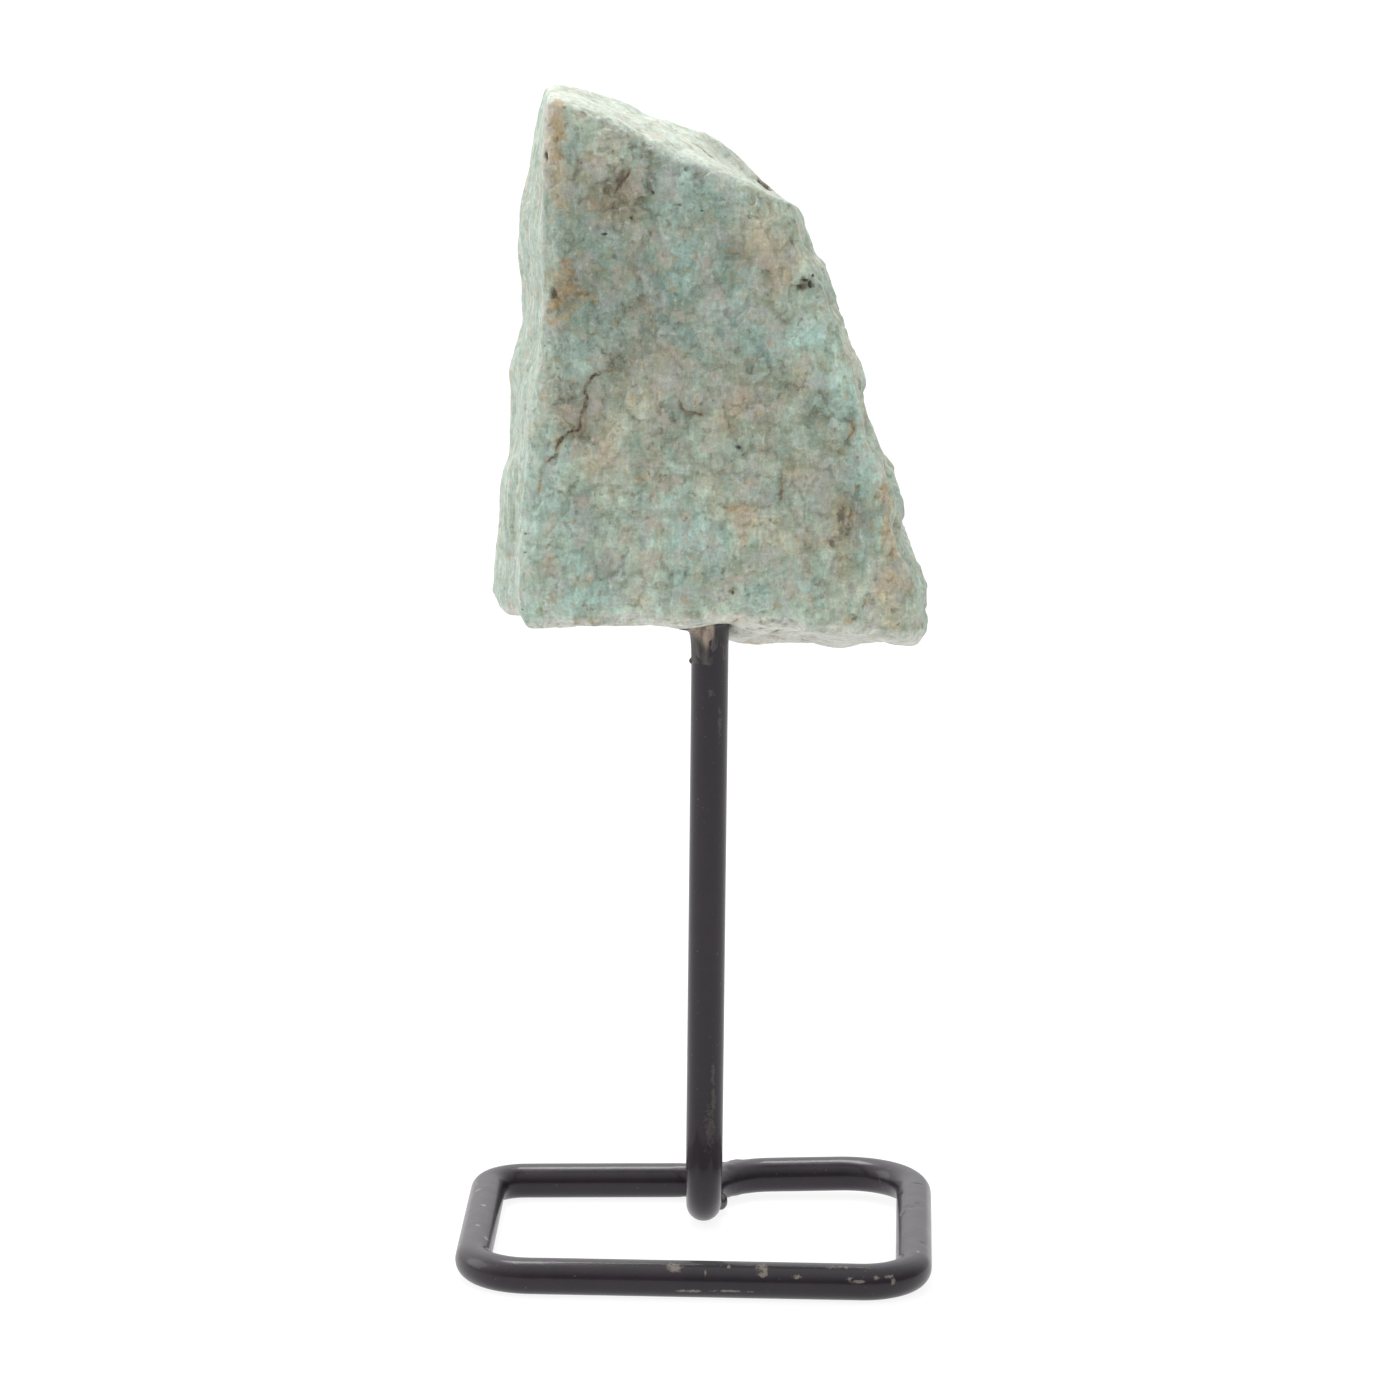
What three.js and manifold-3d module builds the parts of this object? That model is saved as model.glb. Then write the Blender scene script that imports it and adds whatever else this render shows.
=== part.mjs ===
// Rough amazonite on a bent-wire pin stand.
//
// Millimetres, +Z up. The origin is on the surface that the stand rests on, in the middle of
// the stand's footprint. X runs to the right along the stone's broad face, and Y to its back.
import * as THREE from 'three';
import { mergeVertices } from 'three/addons/utils/BufferGeometryUtils.js';
import Module from 'manifold-3d';

const manifold = await Module();
manifold.setup();

// ---------------------------------------------------------------- driving dimensions
const WIRE_DIAMETER = 4.06;      // mild steel wire with its coat of paint
const WIRE_SIDES = 16;
const WIRE_REST_DEPTH = 0.08;    // how deep the resting spots are rubbed flat
const BEND_STEPS = 7;

const STONE_SEAT = 70;           // height of the stone's own zero above the table
const PIN_DEPTH = 10.5;          // how far the wire goes up into the drilled stone
const FIT_GAP = 0.3;             // clearance between pieces that touch
const SLEEVE_COAT = 0.14;        // extra paint and glue on the wire just under the stone
const SLEEVE_LOW = 66.1;
const SLEEVE_HIGH = 68.8;
const GLUE_GAP = 0.2;            // clearance between the glue and the wire that it clings to
const GLUE_FOOT = 69.1;          // height of the glue's lower lip
const GLUE_LEAN = 0.22;          // share by which the glue spreads further to the left

const ROD_FOOT = [0.33, 5.85];   // where the upright would meet the table
const ROD_LEAN = [0.011, -0.008]; // sideways run for each millimetre of height

// The base is a hand-bent rectangle: corner points of the wire's centreline, and bend radii.
const BASE_LEVEL = WIRE_DIAMETER / 2 - WIRE_REST_DEPTH;
const REAR_LIFT = 0.75;          // the welded rear right corner stands off the table
const ELBOW = { at: [ROD_FOOT[0], ROD_FOOT[1], BASE_LEVEL], radius: 5 };
const REAR_TURN = { at: [0.5, 21.25, BASE_LEVEL + 0.5 * REAR_LIFT], radius: 8 };
const REAR_RIGHT = { at: [25.6, 21.45, BASE_LEVEL + REAR_LIFT], radius: 8.5 };
const FRONT_RIGHT = { at: [23.7, -21.45, BASE_LEVEL], radius: 5.8 };
const FRONT_LEFT = { at: [-25.6, -18.25, BASE_LEVEL], radius: 7 };
const REAR_LEFT = { at: [-24.9, 20.45, BASE_LEVEL], radius: 4.4 };
const WIRE_END = { at: [-0.5, 20.35, BASE_LEVEL + 0.1], radius: 0 };

// ---------------------------------------------------------------- solids and booleans
function solidOf(geometry) {
  const bare = geometry.clone();
  bare.deleteAttribute('normal');
  bare.deleteAttribute('uv');
  const merged = mergeVertices(bare, 1e-4);
  return new manifold.Manifold(new manifold.Mesh({
    numProp: 3,
    vertProperties: new Float32Array(merged.attributes.position.array),
    triVerts: new Uint32Array(merged.index.array),
  }));
}

function geometryOf(solid) {
  const mesh = solid.getMesh();
  const geometry = new THREE.BufferGeometry();
  geometry.setAttribute('position', new THREE.BufferAttribute(new Float32Array(mesh.vertProperties), 3));
  geometry.setIndex(new THREE.BufferAttribute(new Uint32Array(mesh.triVerts), 1));
  geometry.computeVertexNormals();
  return geometry;
}

function rodPoint(height) {
  return new THREE.Vector3(
    ROD_FOOT[0] + ROD_LEAN[0] * height,
    ROD_FOOT[1] + ROD_LEAN[1] * height,
    height,
  );
}

// A round bar along the upright's line, between two heights.
function uprightBar(radius, low, high, sides) {
  const start = rodPoint(low);
  const end = rodPoint(high);
  const bar = new THREE.CylinderGeometry(radius, radius, start.distanceTo(end), sides);
  const turn = new THREE.Quaternion().setFromUnitVectors(
    new THREE.Vector3(0, 1, 0),
    end.clone().sub(start).normalize(),
  );
  bar.applyQuaternion(turn);
  bar.translate(...start.clone().add(end).multiplyScalar(0.5).toArray());
  return solidOf(bar);
}

// ---------------------------------------------------------------- the bent wire
// Straight runs and round bends through corner points, with stations only where it bends.
class BentWire extends THREE.Curve {
  constructor(corners) {
    super();
    this.stations = [new THREE.Vector3(...corners[0].at)];
    for (let i = 1; i < corners.length - 1; i += 1) {
      const corner = new THREE.Vector3(...corners[i].at);
      const back = new THREE.Vector3(...corners[i - 1].at).sub(corner).normalize();
      const ahead = new THREE.Vector3(...corners[i + 1].at).sub(corner).normalize();
      const half = back.angleTo(ahead) / 2;
      const { radius } = corners[i];
      const middle = back.clone().add(ahead).normalize();
      const centre = corner.clone().addScaledVector(middle, radius / Math.sin(half));
      const first = corner.clone().addScaledVector(back, radius / Math.tan(half)).sub(centre);
      const last = corner.clone().addScaledVector(ahead, radius / Math.tan(half)).sub(centre);
      const axis = first.clone().cross(last).normalize();
      const sweep = first.angleTo(last);
      for (let k = 0; k <= BEND_STEPS; k += 1) {
        const spoke = first.clone().applyAxisAngle(axis, (sweep * k) / BEND_STEPS);
        this.stations.push(spoke.add(centre));
      }
    }
    this.stations.push(new THREE.Vector3(...corners[corners.length - 1].at));
  }

  get steps() {
    return this.stations.length - 1;
  }

  getPoint(t) {
    const place = t * this.steps;
    const i = Math.min(Math.floor(place), this.steps - 1);
    return this.stations[i].clone().lerp(this.stations[i + 1], place - i);
  }

  // The stations set the steps, not the length along the wire.
  getUtoTmapping(u) {
    return u;
  }
}

function wireStand() {
  const top = { at: rodPoint(STONE_SEAT + PIN_DEPTH).toArray(), radius: 0 };
  const path = new BentWire(
    [top, ELBOW, REAR_TURN, REAR_RIGHT, FRONT_RIGHT, FRONT_LEFT, REAR_LEFT, WIRE_END],
  );
  // The section's flats lie at the wire's true radius, and one of them faces straight down.
  const reach = WIRE_DIAMETER / 2 / Math.cos(Math.PI / WIRE_SIDES);
  const section = new THREE.Shape(Array.from({ length: WIRE_SIDES }, (_, i) => {
    const angle = ((i + 0.5) / WIRE_SIDES) * 2 * Math.PI;
    return new THREE.Vector2(reach * Math.cos(angle), reach * Math.sin(angle));
  }));
  const bar = new THREE.ExtrudeGeometry(section, {
    steps: path.steps,
    extrudePath: path,
    bevelEnabled: false,
  });

  // The free end of the wire is welded to the outside of the bend behind the upright.
  const bead = new THREE.SphereGeometry(1, 14, 8);
  bead.scale(3.1, 2.0, 1.75);
  bead.rotateZ(0.5);
  bead.translate(1.1, 20.75, BASE_LEVEL + 0.25);
  const drip = new THREE.SphereGeometry(1, 8, 6);
  drip.scale(0.9, 1.5, 1.0);
  drip.translate(2.45, 13.6, BASE_LEVEL - 0.6);

  const paintSleeve = uprightBar(WIRE_DIAMETER / 2 + SLEEVE_COAT, SLEEVE_LOW, SLEEVE_HIGH, WIRE_SIDES);
  const table = new THREE.BoxGeometry(100, 100, 10);
  table.translate(0, 0, -5);
  return [solidOf(bead), solidOf(drip), paintSleeve]
    .reduce((wire, lump) => wire.add(lump), solidOf(bar))
    .subtract(solidOf(table));
}

// ---------------------------------------------------------------- the amazonite
// The stone is a cleavage fragment of feldspar: a flat broad face, a narrow flat left side, a
// slanting top, and a right side and back that broke in steps. Each line below is one of its
// upright edges, from the underside to the top: X, Y, and height above the stone's own zero.
// They go round the stone as seen from above, in four sides; steps is the number of skin
// points from this edge to the next one, and facing sides have as many points as each other.
const SIDES = {
  front: [
    { steps: 5, line: [
      [-19.4, -8.6, 2.8], [-19.7, -8.9, 5.5], [-19.5, -8.9, 11], [-19.2, -8.7, 17.6], [-19.0, -8.7, 23],
      [-18.5, -8.6, 28.6], [-17.6, -8.4, 34], [-16.7, -8.2, 39.4], [-17.1, -8.3, 45.6], [-17.0, -8.0, 54],
      [-16.8, -7.6, 61.0],
    ] },
    { steps: 6, line: [
      [-12.0, -9.2, 3.2], [-11.8, -9.7, 10], [-11.2, -9.5, 26], [-10.4, -8.8, 40], [-10.2, -7.9, 52],
      [-10.3, -7.2, 59.6],
    ] },
    { steps: 8, line: [
      [-2.8, -9.2, 3.3], [-2.4, -10.1, 12], [-1.6, -10.2, 27], [-1.8, -9.4, 41], [-2.8, -7.4, 55.4],
    ] },
    { steps: 8, line: [
      [10.8, -8.8, 3.0], [10.6, -9.6, 10], [9.6, -9.9, 24], [7.4, -9.3, 38], [5.2, -7.6, 52.1],
    ] },
  ],
  right: [
    { steps: 3, line: [
      [23.2, -7.6, 2.1], [23.8, -7.6, 6], [22.4, -7.8, 11], [21.2, -7.5, 16], [19.7, -8.0, 20.5],
      [17.9, -7.7, 25], [17.0, -7.6, 30], [15.4, -7.9, 34], [13.9, -7.4, 39], [12.8, -7.7, 42],
      [11.0, -7.3, 45.5], [10.4, -6.8, 50.0],
    ] },
    { steps: 4, line: [
      [24.0, -4, 0.9], [25.1, -4, 3.2], [25.3, -4, 6.4], [23.8, -4, 9.4], [22.2, -4, 12.2],
      [22.2, -4, 15.4], [21.8, -4, 18.2], [21.1, -4, 20.6], [19.4, -4, 23.4], [18.0, -4, 26.8],
      [17.7, -4, 29.6], [17.1, -4, 32.1], [15.8, -4, 34.4], [15.3, -4, 37.2], [14.0, -4, 39.4],
      [13.8, -4, 41.8], [12.1, -4, 44.3], [11.5, -4, 46.4], [10.9, -4, 49.5],
    ] },
    { steps: 5, line: [
      [24.3, 2, -0.2], [25.7, 2, 2.6], [25.8, 2, 6.4], [24.3, 2, 9.4], [22.6, 2, 12.2], [22.7, 2, 15.4],
      [22.3, 2, 18.2], [21.6, 2, 20.6], [19.9, 2, 23.4], [18.4, 2, 26.8], [18.1, 2, 29.6],
      [17.6, 2, 32.1], [16.2, 2, 34.4], [15.7, 2, 37.2], [14.3, 2, 39.4], [14.2, 2, 41.8],
      [12.4, 2, 44.3], [11.9, 2, 46.4], [11.3, 2, 48.9],
    ] },
  ],
  back: [
    { steps: 8, line: [
      [22.6, 12.4, -2.3], [23.5, 12.2, 4], [23.0, 11.6, 11], [20.4, 11.9, 14], [19.4, 10.8, 21],
      [16.6, 11.2, 24], [15.8, 10.4, 31], [13.6, 10.2, 34], [11.6, 9.6, 43], [9.8, 9.6, 49.1],
    ] },
    { steps: 6, line: [
      [11.5, 16.2, -2.2], [12.2, 16.8, 5], [11.6, 16.0, 17], [10.6, 14.6, 19], [9.6, 14.0, 29],
      [7.2, 13.2, 41], [5.0, 11.9, 52.2],
    ] },
    { steps: 1, line: [
      [4.0, 16.6, -2.0], [4.2, 17.2, 6], [3.4, 15.9, 16], [2.6, 15.0, 30], [1.6, 13.6, 42],
      [0.8, 12.0, 56.4],
    ] },
    { steps: 6, line: [
      [2.8, 17.4, -1.6], [3.0, 18.6, 6], [2.2, 18.2, 16], [1.2, 17.4, 27], [0.6, 15.6, 29],
      [0.2, 14.9, 42], [-0.6, 12.6, 57.2],
    ] },
    { steps: 6, line: [
      [-7.0, 17.0, 0.8], [-7.4, 18.2, 7], [-8.0, 17.8, 26.5], [-8.2, 15.6, 28.5], [-8.6, 15.0, 44],
      [-8.8, 13.4, 46], [-8.6, 12.2, 60.0],
    ] },
  ],
  left: [
    { steps: 5, line: [
      [-18.2, 13.6, 2.2], [-19.4, 14.0, 9], [-19.0, 13.4, 22], [-18.0, 13.0, 37], [-17.4, 11.8, 39],
      [-17.0, 11.6, 48], [-15.2, 10.6, 61.2],
    ] },
    { steps: 4, line: [
      [-22.8, 6, 3.2], [-23.8, 6, 4.6], [-23.2, 6, 8], [-23.3, 6, 12], [-21.8, 6, 18], [-21.3, 6, 23],
      [-21.4, 6, 29], [-20.5, 6, 33], [-20.0, 6, 39], [-20.4, 6, 41.5], [-21.1, 6, 43.6],
      [-20.4, 6, 47], [-19.0, 6, 52], [-18.4, 5.4, 57.5], [-17.0, 4.4, 62.3],
    ] },
    { steps: 1, line: [
      [-21.6, -1.2, 2.9], [-22.3, -1.4, 5.2], [-22.2, -1.2, 10], [-21.6, -1.2, 17], [-20.6, -1.0, 23],
      [-20.4, -1.2, 29], [-19.4, -1.4, 34], [-18.4, -1.4, 40], [-18.9, -1.4, 45], [-18.2, -1.4, 52],
      [-16.9, -2.2, 61.9],
    ] },
    { steps: 2, line: [
      [-20.3, -3.2, 3.5], [-20.5, -3.4, 6], [-20.3, -3.2, 12], [-20.0, -3.2, 18], [-19.9, -3.4, 24],
      [-19.4, -3.4, 29], [-18.4, -3.4, 34], [-17.4, -3.8, 40], [-17.9, -3.8, 46], [-17.6, -3.8, 52],
      [-16.9, -4.4, 61.6],
    ] },
  ],
};
const STONE_ROWS = 36;
const BORE_MOUTH = [1.1, 5.3, 0.3];
const EVEN_ROUND_BORE = 5;

// Cleavage chips: flat patches that lie a little higher or lower than their neighbours.
const CHIPS = [
  { size: [8, 8, 11], lift: 0.36, tilt: 0.08, seed: 3 },
  { size: [4, 4, 5], lift: 0.2, tilt: 0.08, seed: 11 },
];
const CHIP_EDGE = 14;            // how steeply one chip steps off to the next
const FACE_RELIEF = 0.7;         // share of the chips' height on the flat broad face
const BACK_RELIEF = 1.4;         // and on the rougher back

// Scars in the broad face: X, height, how far each reaches across and up, and its depth.
const SCARS = [
  { x: -6.8, z: 54.4, across: 2.4, up: 2.0, depth: 0.7 },
  { x: -8.0, z: 50.6, across: 2.6, up: 1.6, depth: 0.45 },
  { x: -14.8, z: 40.0, across: 1.8, up: 3.0, depth: 0.6 },
  { x: -12.2, z: 28.6, across: 2.2, up: 3.2, depth: 0.55 },
  { x: -16.0, z: 21.5, across: 1.8, up: 3.0, depth: 0.5 },
  { x: 11.6, z: 40.6, across: 1.6, up: 1.6, depth: 0.8 },
  { x: 18.0, z: 14.6, across: 2.4, up: 3.0, depth: 0.5 },
];

// A fixed number from 0 to 1 for each whole-numbered cell.
function cellValue(i, j, k, channel) {
  let h = Math.imul(i, 374761393) ^ Math.imul(j, 668265263) ^ Math.imul(k, 2147483647);
  h = Math.imul(h ^ (h >>> 13) ^ Math.imul(channel, 1274126177), 1103515245);
  h = Math.imul(h ^ (h >>> 16), 2246822519);
  return ((h ^ (h >>> 15)) >>> 0) / 4294967296;
}

// Each chip has a seed point, a height and a slope; a point takes those of the seeds closest
// to it, so a chip is flat in its middle and steps off steeply to the next.
function chipHeight(point, chip) {
  const home = point.map((value, axis) => Math.floor(value / chip.size[axis]));
  let total = 0;
  let weights = 0;
  for (let step = 0; step < 27; step += 1) {
    const cell = [home[0] + (step % 3) - 1, home[1] + (Math.floor(step / 3) % 3) - 1,
      home[2] + Math.floor(step / 9) - 1];
    const away = point.map((value, axis) => (
      value / chip.size[axis] - cell[axis] - cellValue(...cell, chip.seed + axis)
    ));
    const slope = away.reduce((sum, value, axis) => (
      sum + 2 * value * chip.size[axis] * (cellValue(...cell, chip.seed + 4 + axis) - 0.5)
    ), 0);
    const height = chip.lift * (2 * cellValue(...cell, chip.seed + 3) - 1) + chip.tilt * slope;
    const weight = Math.exp(-CHIP_EDGE * away.reduce((sum, value) => sum + value * value, 0));
    total += weight * height;
    weights += weight;
  }
  return total / weights;
}

// The skin is even round the drilled hole, where the glue sits, and roughest at the back.
function roughness([x, y, z]) {
  const fromBore = Math.hypot(x - BORE_MOUTH[0], y - BORE_MOUTH[1], z - BORE_MOUTH[2]);
  const toBack = THREE.MathUtils.smoothstep(y, -7, 12);
  return THREE.MathUtils.smoothstep(fromBore, EVEN_ROUND_BORE, 2 * EVEN_ROUND_BORE)
    * THREE.MathUtils.lerp(FACE_RELIEF, BACK_RELIEF, toBack);
}

function scarDepth([x, y, z]) {
  if (y > 0) return 0;
  return SCARS.reduce((deepest, scar) => {
    const reach = Math.hypot((x - scar.x) / scar.across, (z - scar.z) / scar.up);
    return Math.max(deepest, scar.depth * Math.max(0, 1 - reach ** 3));
  }, 0);
}

const mix = (a, b, share) => a.map((value, axis) => value + (b[axis] - value) * share);

// The point of an upright edge at a share of its height.
function edgePoint({ line }, share) {
  const height = THREE.MathUtils.lerp(line[0][2], line[line.length - 1][2], share);
  let i = 0;
  while (i < line.length - 2 && line[i + 1][2] < height) i += 1;
  return mix(line[i], line[i + 1], (height - line[i][2]) / (line[i + 1][2] - line[i][2]));
}

// The points round the stone at a share of its height, side by side.
function sidesAt(share) {
  const edges = Object.values(SIDES).flat();
  let count = 0;
  return Object.values(SIDES).map((side) => side.flatMap((edge) => {
    count += 1;
    const from = edgePoint(edge, share);
    const to = edgePoint(edges[count % edges.length], share);
    return Array.from({ length: edge.steps }, (_, k) => mix(from, to, k / edge.steps));
  }));
}

// A sheet stretched over the four sides of the top or the underside.
function sheetPoint([front, right, back, left], column, row) {
  const across = front.length;
  const deep = right.length;
  const u = column / across;
  const v = row / deep;
  const corners = [front[0], right[0], back[0], left[0]];
  const near = column < across ? front[column] : right[0];
  const far = column > 0 ? back[across - column] : left[0];
  const west = row > 0 ? left[deep - row] : front[0];
  const east = row < deep ? right[row] : back[0];
  return [0, 1, 2].map((axis) => (
    (1 - v) * near[axis] + v * far[axis] + (1 - u) * west[axis] + u * east[axis]
    - (1 - u) * (1 - v) * corners[0][axis] - u * (1 - v) * corners[1][axis]
    - u * v * corners[2][axis] - (1 - u) * v * corners[3][axis]
  ));
}

// Flat triangles, three points each: the wall of rings, and the two sheets that close it.
function stoneSkin() {
  const corners = [];
  const tile = (a, b, c, d, slant) => {
    corners.push(...(slant ? [a, b, c, a, c, d] : [a, b, d, b, c, d]));
  };
  const levels = Array.from({ length: STONE_ROWS + 1 }, (_, k) => sidesAt(k / STONE_ROWS));
  const rings = levels.map((sides) => sides.flat());
  const around = rings[0].length;
  for (let row = 0; row < STONE_ROWS; row += 1) {
    for (let k = 0; k < around; k += 1) {
      const next = (k + 1) % around;
      tile(rings[row][k], rings[row][next], rings[row + 1][next], rings[row + 1][k], (row + k) % 2);
    }
  }
  const underside = levels[0];
  const top = levels[STONE_ROWS];
  for (let column = 0; column < top[0].length; column += 1) {
    for (let row = 0; row < top[1].length; row += 1) {
      const at = (sides, i, j) => sheetPoint(sides, column + i, row + j);
      const slant = (row + column) % 2;
      tile(at(top, 0, 0), at(top, 1, 0), at(top, 1, 1), at(top, 0, 1), slant);
      tile(at(underside, 0, 0), at(underside, 0, 1), at(underside, 1, 1), at(underside, 1, 0), slant);
    }
  }
  const loose = new THREE.BufferGeometry();
  loose.setAttribute('position', new THREE.Float32BufferAttribute(corners.flat(), 3));
  const skin = mergeVertices(loose, 1e-3);
  skin.computeVertexNormals();
  return skin;
}

function amazonite() {
  const skin = stoneSkin();
  const { position, normal } = skin.attributes;
  for (let i = 0; i < position.count; i += 1) {
    const point = [position.getX(i), position.getY(i), position.getZ(i)];
    const chips = CHIPS.reduce((sum, chip) => sum + chipHeight(point, chip), 0);
    const move = roughness(point) * chips - scarDepth(point);
    position.setXYZ(
      i,
      point[0] + move * normal.getX(i),
      point[1] + move * normal.getY(i),
      point[2] + move * normal.getZ(i),
    );
  }
  skin.translate(0, 0, STONE_SEAT);
  const bore = uprightBar(
    WIRE_DIAMETER / 2 + 1.5 * FIT_GAP,
    STONE_SEAT - 10,
    STONE_SEAT + PIN_DEPTH + FIT_GAP,
    WIRE_SIDES,
  );
  return solidOf(skin).subtract(bore);
}

// ---------------------------------------------------------------- the glue collar
// Epoxy squeezed out of the drilled hole: a short skirt that clings to the upright and spreads
// out under the stone, further to the left than to the right.
function glueCollar(stone) {
  const inner = WIRE_DIAMETER / 2 + GLUE_GAP;
  const skirt = [
    [inner, 0.1], [inner + 0.15, 0], [inner + 0.2, 0.7], [inner + 0.45, 1.4], [inner + 1.0, 2.1],
    [inner + 1.8, 2.7], [inner + 2.4, 3.6], [inner, 3.6], [inner, 0.1],
  ].map(([radius, height]) => new THREE.Vector2(radius, height));
  const collar = new THREE.LatheGeometry(skirt, 24);
  const { position } = collar.attributes;
  for (let i = 0; i < position.count; i += 1) {
    const beyond = Math.hypot(position.getX(i), position.getZ(i)) - inner;
    position.setX(i, position.getX(i) - GLUE_LEAN * beyond);
  }
  collar.rotateX(Math.PI / 2);
  collar.translate(...rodPoint(GLUE_FOOT).toArray());
  const lowered = stone.translate([0, 0, -FIT_GAP]);
  return solidOf(collar).subtract(lowered).subtract(stone);
}

// ---------------------------------------------------------------- assembly
function piece(name, solid, color, roughness, metalness) {
  const mesh = new THREE.Mesh(
    geometryOf(solid),
    new THREE.MeshStandardMaterial({ color, roughness, metalness }),
  );
  mesh.name = name;
  return mesh;
}

const stone = amazonite();
const object = new THREE.Group();
object.add(piece('amazonite_stone', stone, 0x9db5a8, 0.7, 0));
object.add(piece('wire_stand', wireStand(), 0x2c2829, 0.42, 0.1));
object.add(piece('glue_collar', glueCollar(stone), 0x5b5049, 0.5, 0));

export default object;
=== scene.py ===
import math

import bmesh
import bpy
import numpy as np
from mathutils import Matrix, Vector


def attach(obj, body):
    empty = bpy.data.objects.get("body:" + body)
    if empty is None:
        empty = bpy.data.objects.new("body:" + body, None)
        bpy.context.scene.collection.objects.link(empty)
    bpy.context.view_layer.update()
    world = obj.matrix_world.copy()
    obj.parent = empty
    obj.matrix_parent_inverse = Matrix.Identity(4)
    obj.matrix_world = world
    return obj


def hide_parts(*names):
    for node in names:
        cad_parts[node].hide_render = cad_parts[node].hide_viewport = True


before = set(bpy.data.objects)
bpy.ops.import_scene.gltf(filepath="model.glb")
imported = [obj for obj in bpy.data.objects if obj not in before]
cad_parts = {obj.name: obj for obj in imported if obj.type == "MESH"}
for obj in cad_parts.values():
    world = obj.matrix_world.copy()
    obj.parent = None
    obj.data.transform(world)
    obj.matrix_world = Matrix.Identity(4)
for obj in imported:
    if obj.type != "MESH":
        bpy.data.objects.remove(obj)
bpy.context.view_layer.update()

# ---------------- The view, the floor and the light
# A seamless white paper floor inside a light tent that is brightest overhead, then at the back and
# on the left, with a softbox above and another on the left. The camera looks slightly down.
scene = bpy.context.scene
scene.view_settings.view_transform = "Standard"

eye = bpy.data.cameras.new("view")
eye.sensor_width = 36.0
eye.lens = 125.74
camera = bpy.data.objects.new("view", eye)
camera.location = (-0.0005, -0.53945, 0.1584)
camera.rotation_euler = (math.radians(90 - 9.9), 0, 0)
scene.collection.objects.link(camera)
scene.camera = camera


def linear(hex_colour):
    """An sRGB hex colour as linear RGBA."""
    parts = [int(hex_colour[i:i + 2], 16) / 255 for i in (1, 3, 5)]
    return [p / 12.92 if p <= 0.04045 else ((p + 0.055) / 1.055) ** 2.4 for p in parts] + [1.0]


def add(tree, kind, wired=None, give=0, **settings):
    """Adds a node, set and linked, and gives one of its outputs, or the node itself if give is None."""
    node = tree.nodes.new(kind)
    for name, value in settings.items():
        setattr(node, name, value)
    for socket, value in (wired or {}).items():
        if isinstance(value, bpy.types.NodeSocket):
            tree.links.new(value, node.inputs[socket])
        else:
            node.inputs[socket].default_value = value
    return node.outputs[give] if node.outputs and give is not None else node


# A Mix node for colours takes the share at 0 and the two colours at 6 and 7.
COLOUR_MIX = {"give": 2, "data_type": "RGBA"}


def blank_material(name):
    material = bpy.data.materials.new(name)
    material.use_nodes = True
    material.node_tree.nodes.clear()
    return material, material.node_tree


def softbox(name, place, target, size, watts):
    light = bpy.data.lights.new(name, "AREA")
    light.shape = "RECTANGLE"
    light.size, light.size_y = size
    light.energy = watts
    box = bpy.data.objects.new(name, light)
    box.location = place
    box.rotation_euler = (Vector(target) - Vector(place)).to_track_quat("-Z", "Y").to_euler()
    scene.collection.objects.link(box)


softbox("overhead softbox", (-0.10, 0.28, 0.80), (0, 0.02, 0.08), (0.40, 0.24), 3.2)
softbox("left softbox", (-0.80, 0.16, 0.40), (0, 0, 0.09), (0.5, 0.5), 1.6)

TENT_DIM = 0.18                 # the tent's brightness where no wall of it glows
TENT_WALLS = [                  # where each glowing wall lies, and how bright its middle is
    ((0.0, 0.97, 0.26), 0.6),
    ((-0.95, 0.0, 0.30), 0.38),
    ((0.0, 0.1, 0.99), 1.05),
]
tent = bpy.data.worlds.new("light tent")
tent.use_nodes = True
tree = tent.node_tree
way = add(tree, "ShaderNodeTexCoord", give="Generated")
glow = TENT_DIM
for wall, brightness in TENT_WALLS:
    near = add(tree, "ShaderNodeVectorMath", {0: way, 1: wall}, give="Value", operation="DOT_PRODUCT")
    near = add(tree, "ShaderNodeMapRange", {"Value": near, "To Max": brightness},
               interpolation_type="SMOOTHSTEP")
    glow = add(tree, "ShaderNodeMath", {0: near, 1: glow}, operation="ADD")
tree.nodes["Background"].inputs["Color"].default_value = linear("#FFFFFF")
tree.links.new(glow, tree.nodes["Background"].inputs["Strength"])
scene.world = tent

FLOOR_REACH = 12.0              # metres each way, past the far end of the view
sheet = bpy.data.meshes.new("paper_floor")
corners = [(x * FLOOR_REACH, y * FLOOR_REACH, 0) for x, y in ((-1, -1), (1, -1), (1, 1), (-1, 1))]
sheet.from_pydata(corners, [], [(0, 1, 2, 3)])
floor = bpy.data.objects.new("paper_floor", sheet)
scene.collection.objects.link(floor)
paper, tree = blank_material("matt white paper, lit from below")
shader = add(tree, "ShaderNodeBsdfPrincipled", {
    "Base Color": linear("#686868"), "Roughness": 0.95, "Emission Color": linear("#FFFFFF"),
    "Emission Strength": 0.87})
add(tree, "ShaderNodeOutputMaterial", {"Surface": shader})
sheet.materials.append(paper)

# ---------------- The amazonite
# A fragment of green feldspar, split from its vein along two cleavages at right angles: a flat
# broad face, a narrow flat left side, a slanting top, and a stepped right side and back.
# Nothing was done to it but drilling one hole in the underside.
STONE_SEAT = 70.0               # mm, height of the stone's own zero above the table
SKIN_STEP = 0.46                # mm between the skin's points, half that on the broad face
WORN_ROUNDS = 90                # evens out what the skin is made from
ROUNDED_ROUNDS = 38             # how far wear has rounded the edges, to about 2 mm
EDGE_WEAR = (0.30, 1.50, 0.35)  # the share of that rounding which acts along X, Y and Z
BORE_AXIS = (1.1, 5.3)          # mm, where the drilled hole leaves the underside
FRONT_TILT = -0.45              # the broad face looks this much to the front, or more
FRONT_DEPTH = -0.0035           # m, and lies in front of this


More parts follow.
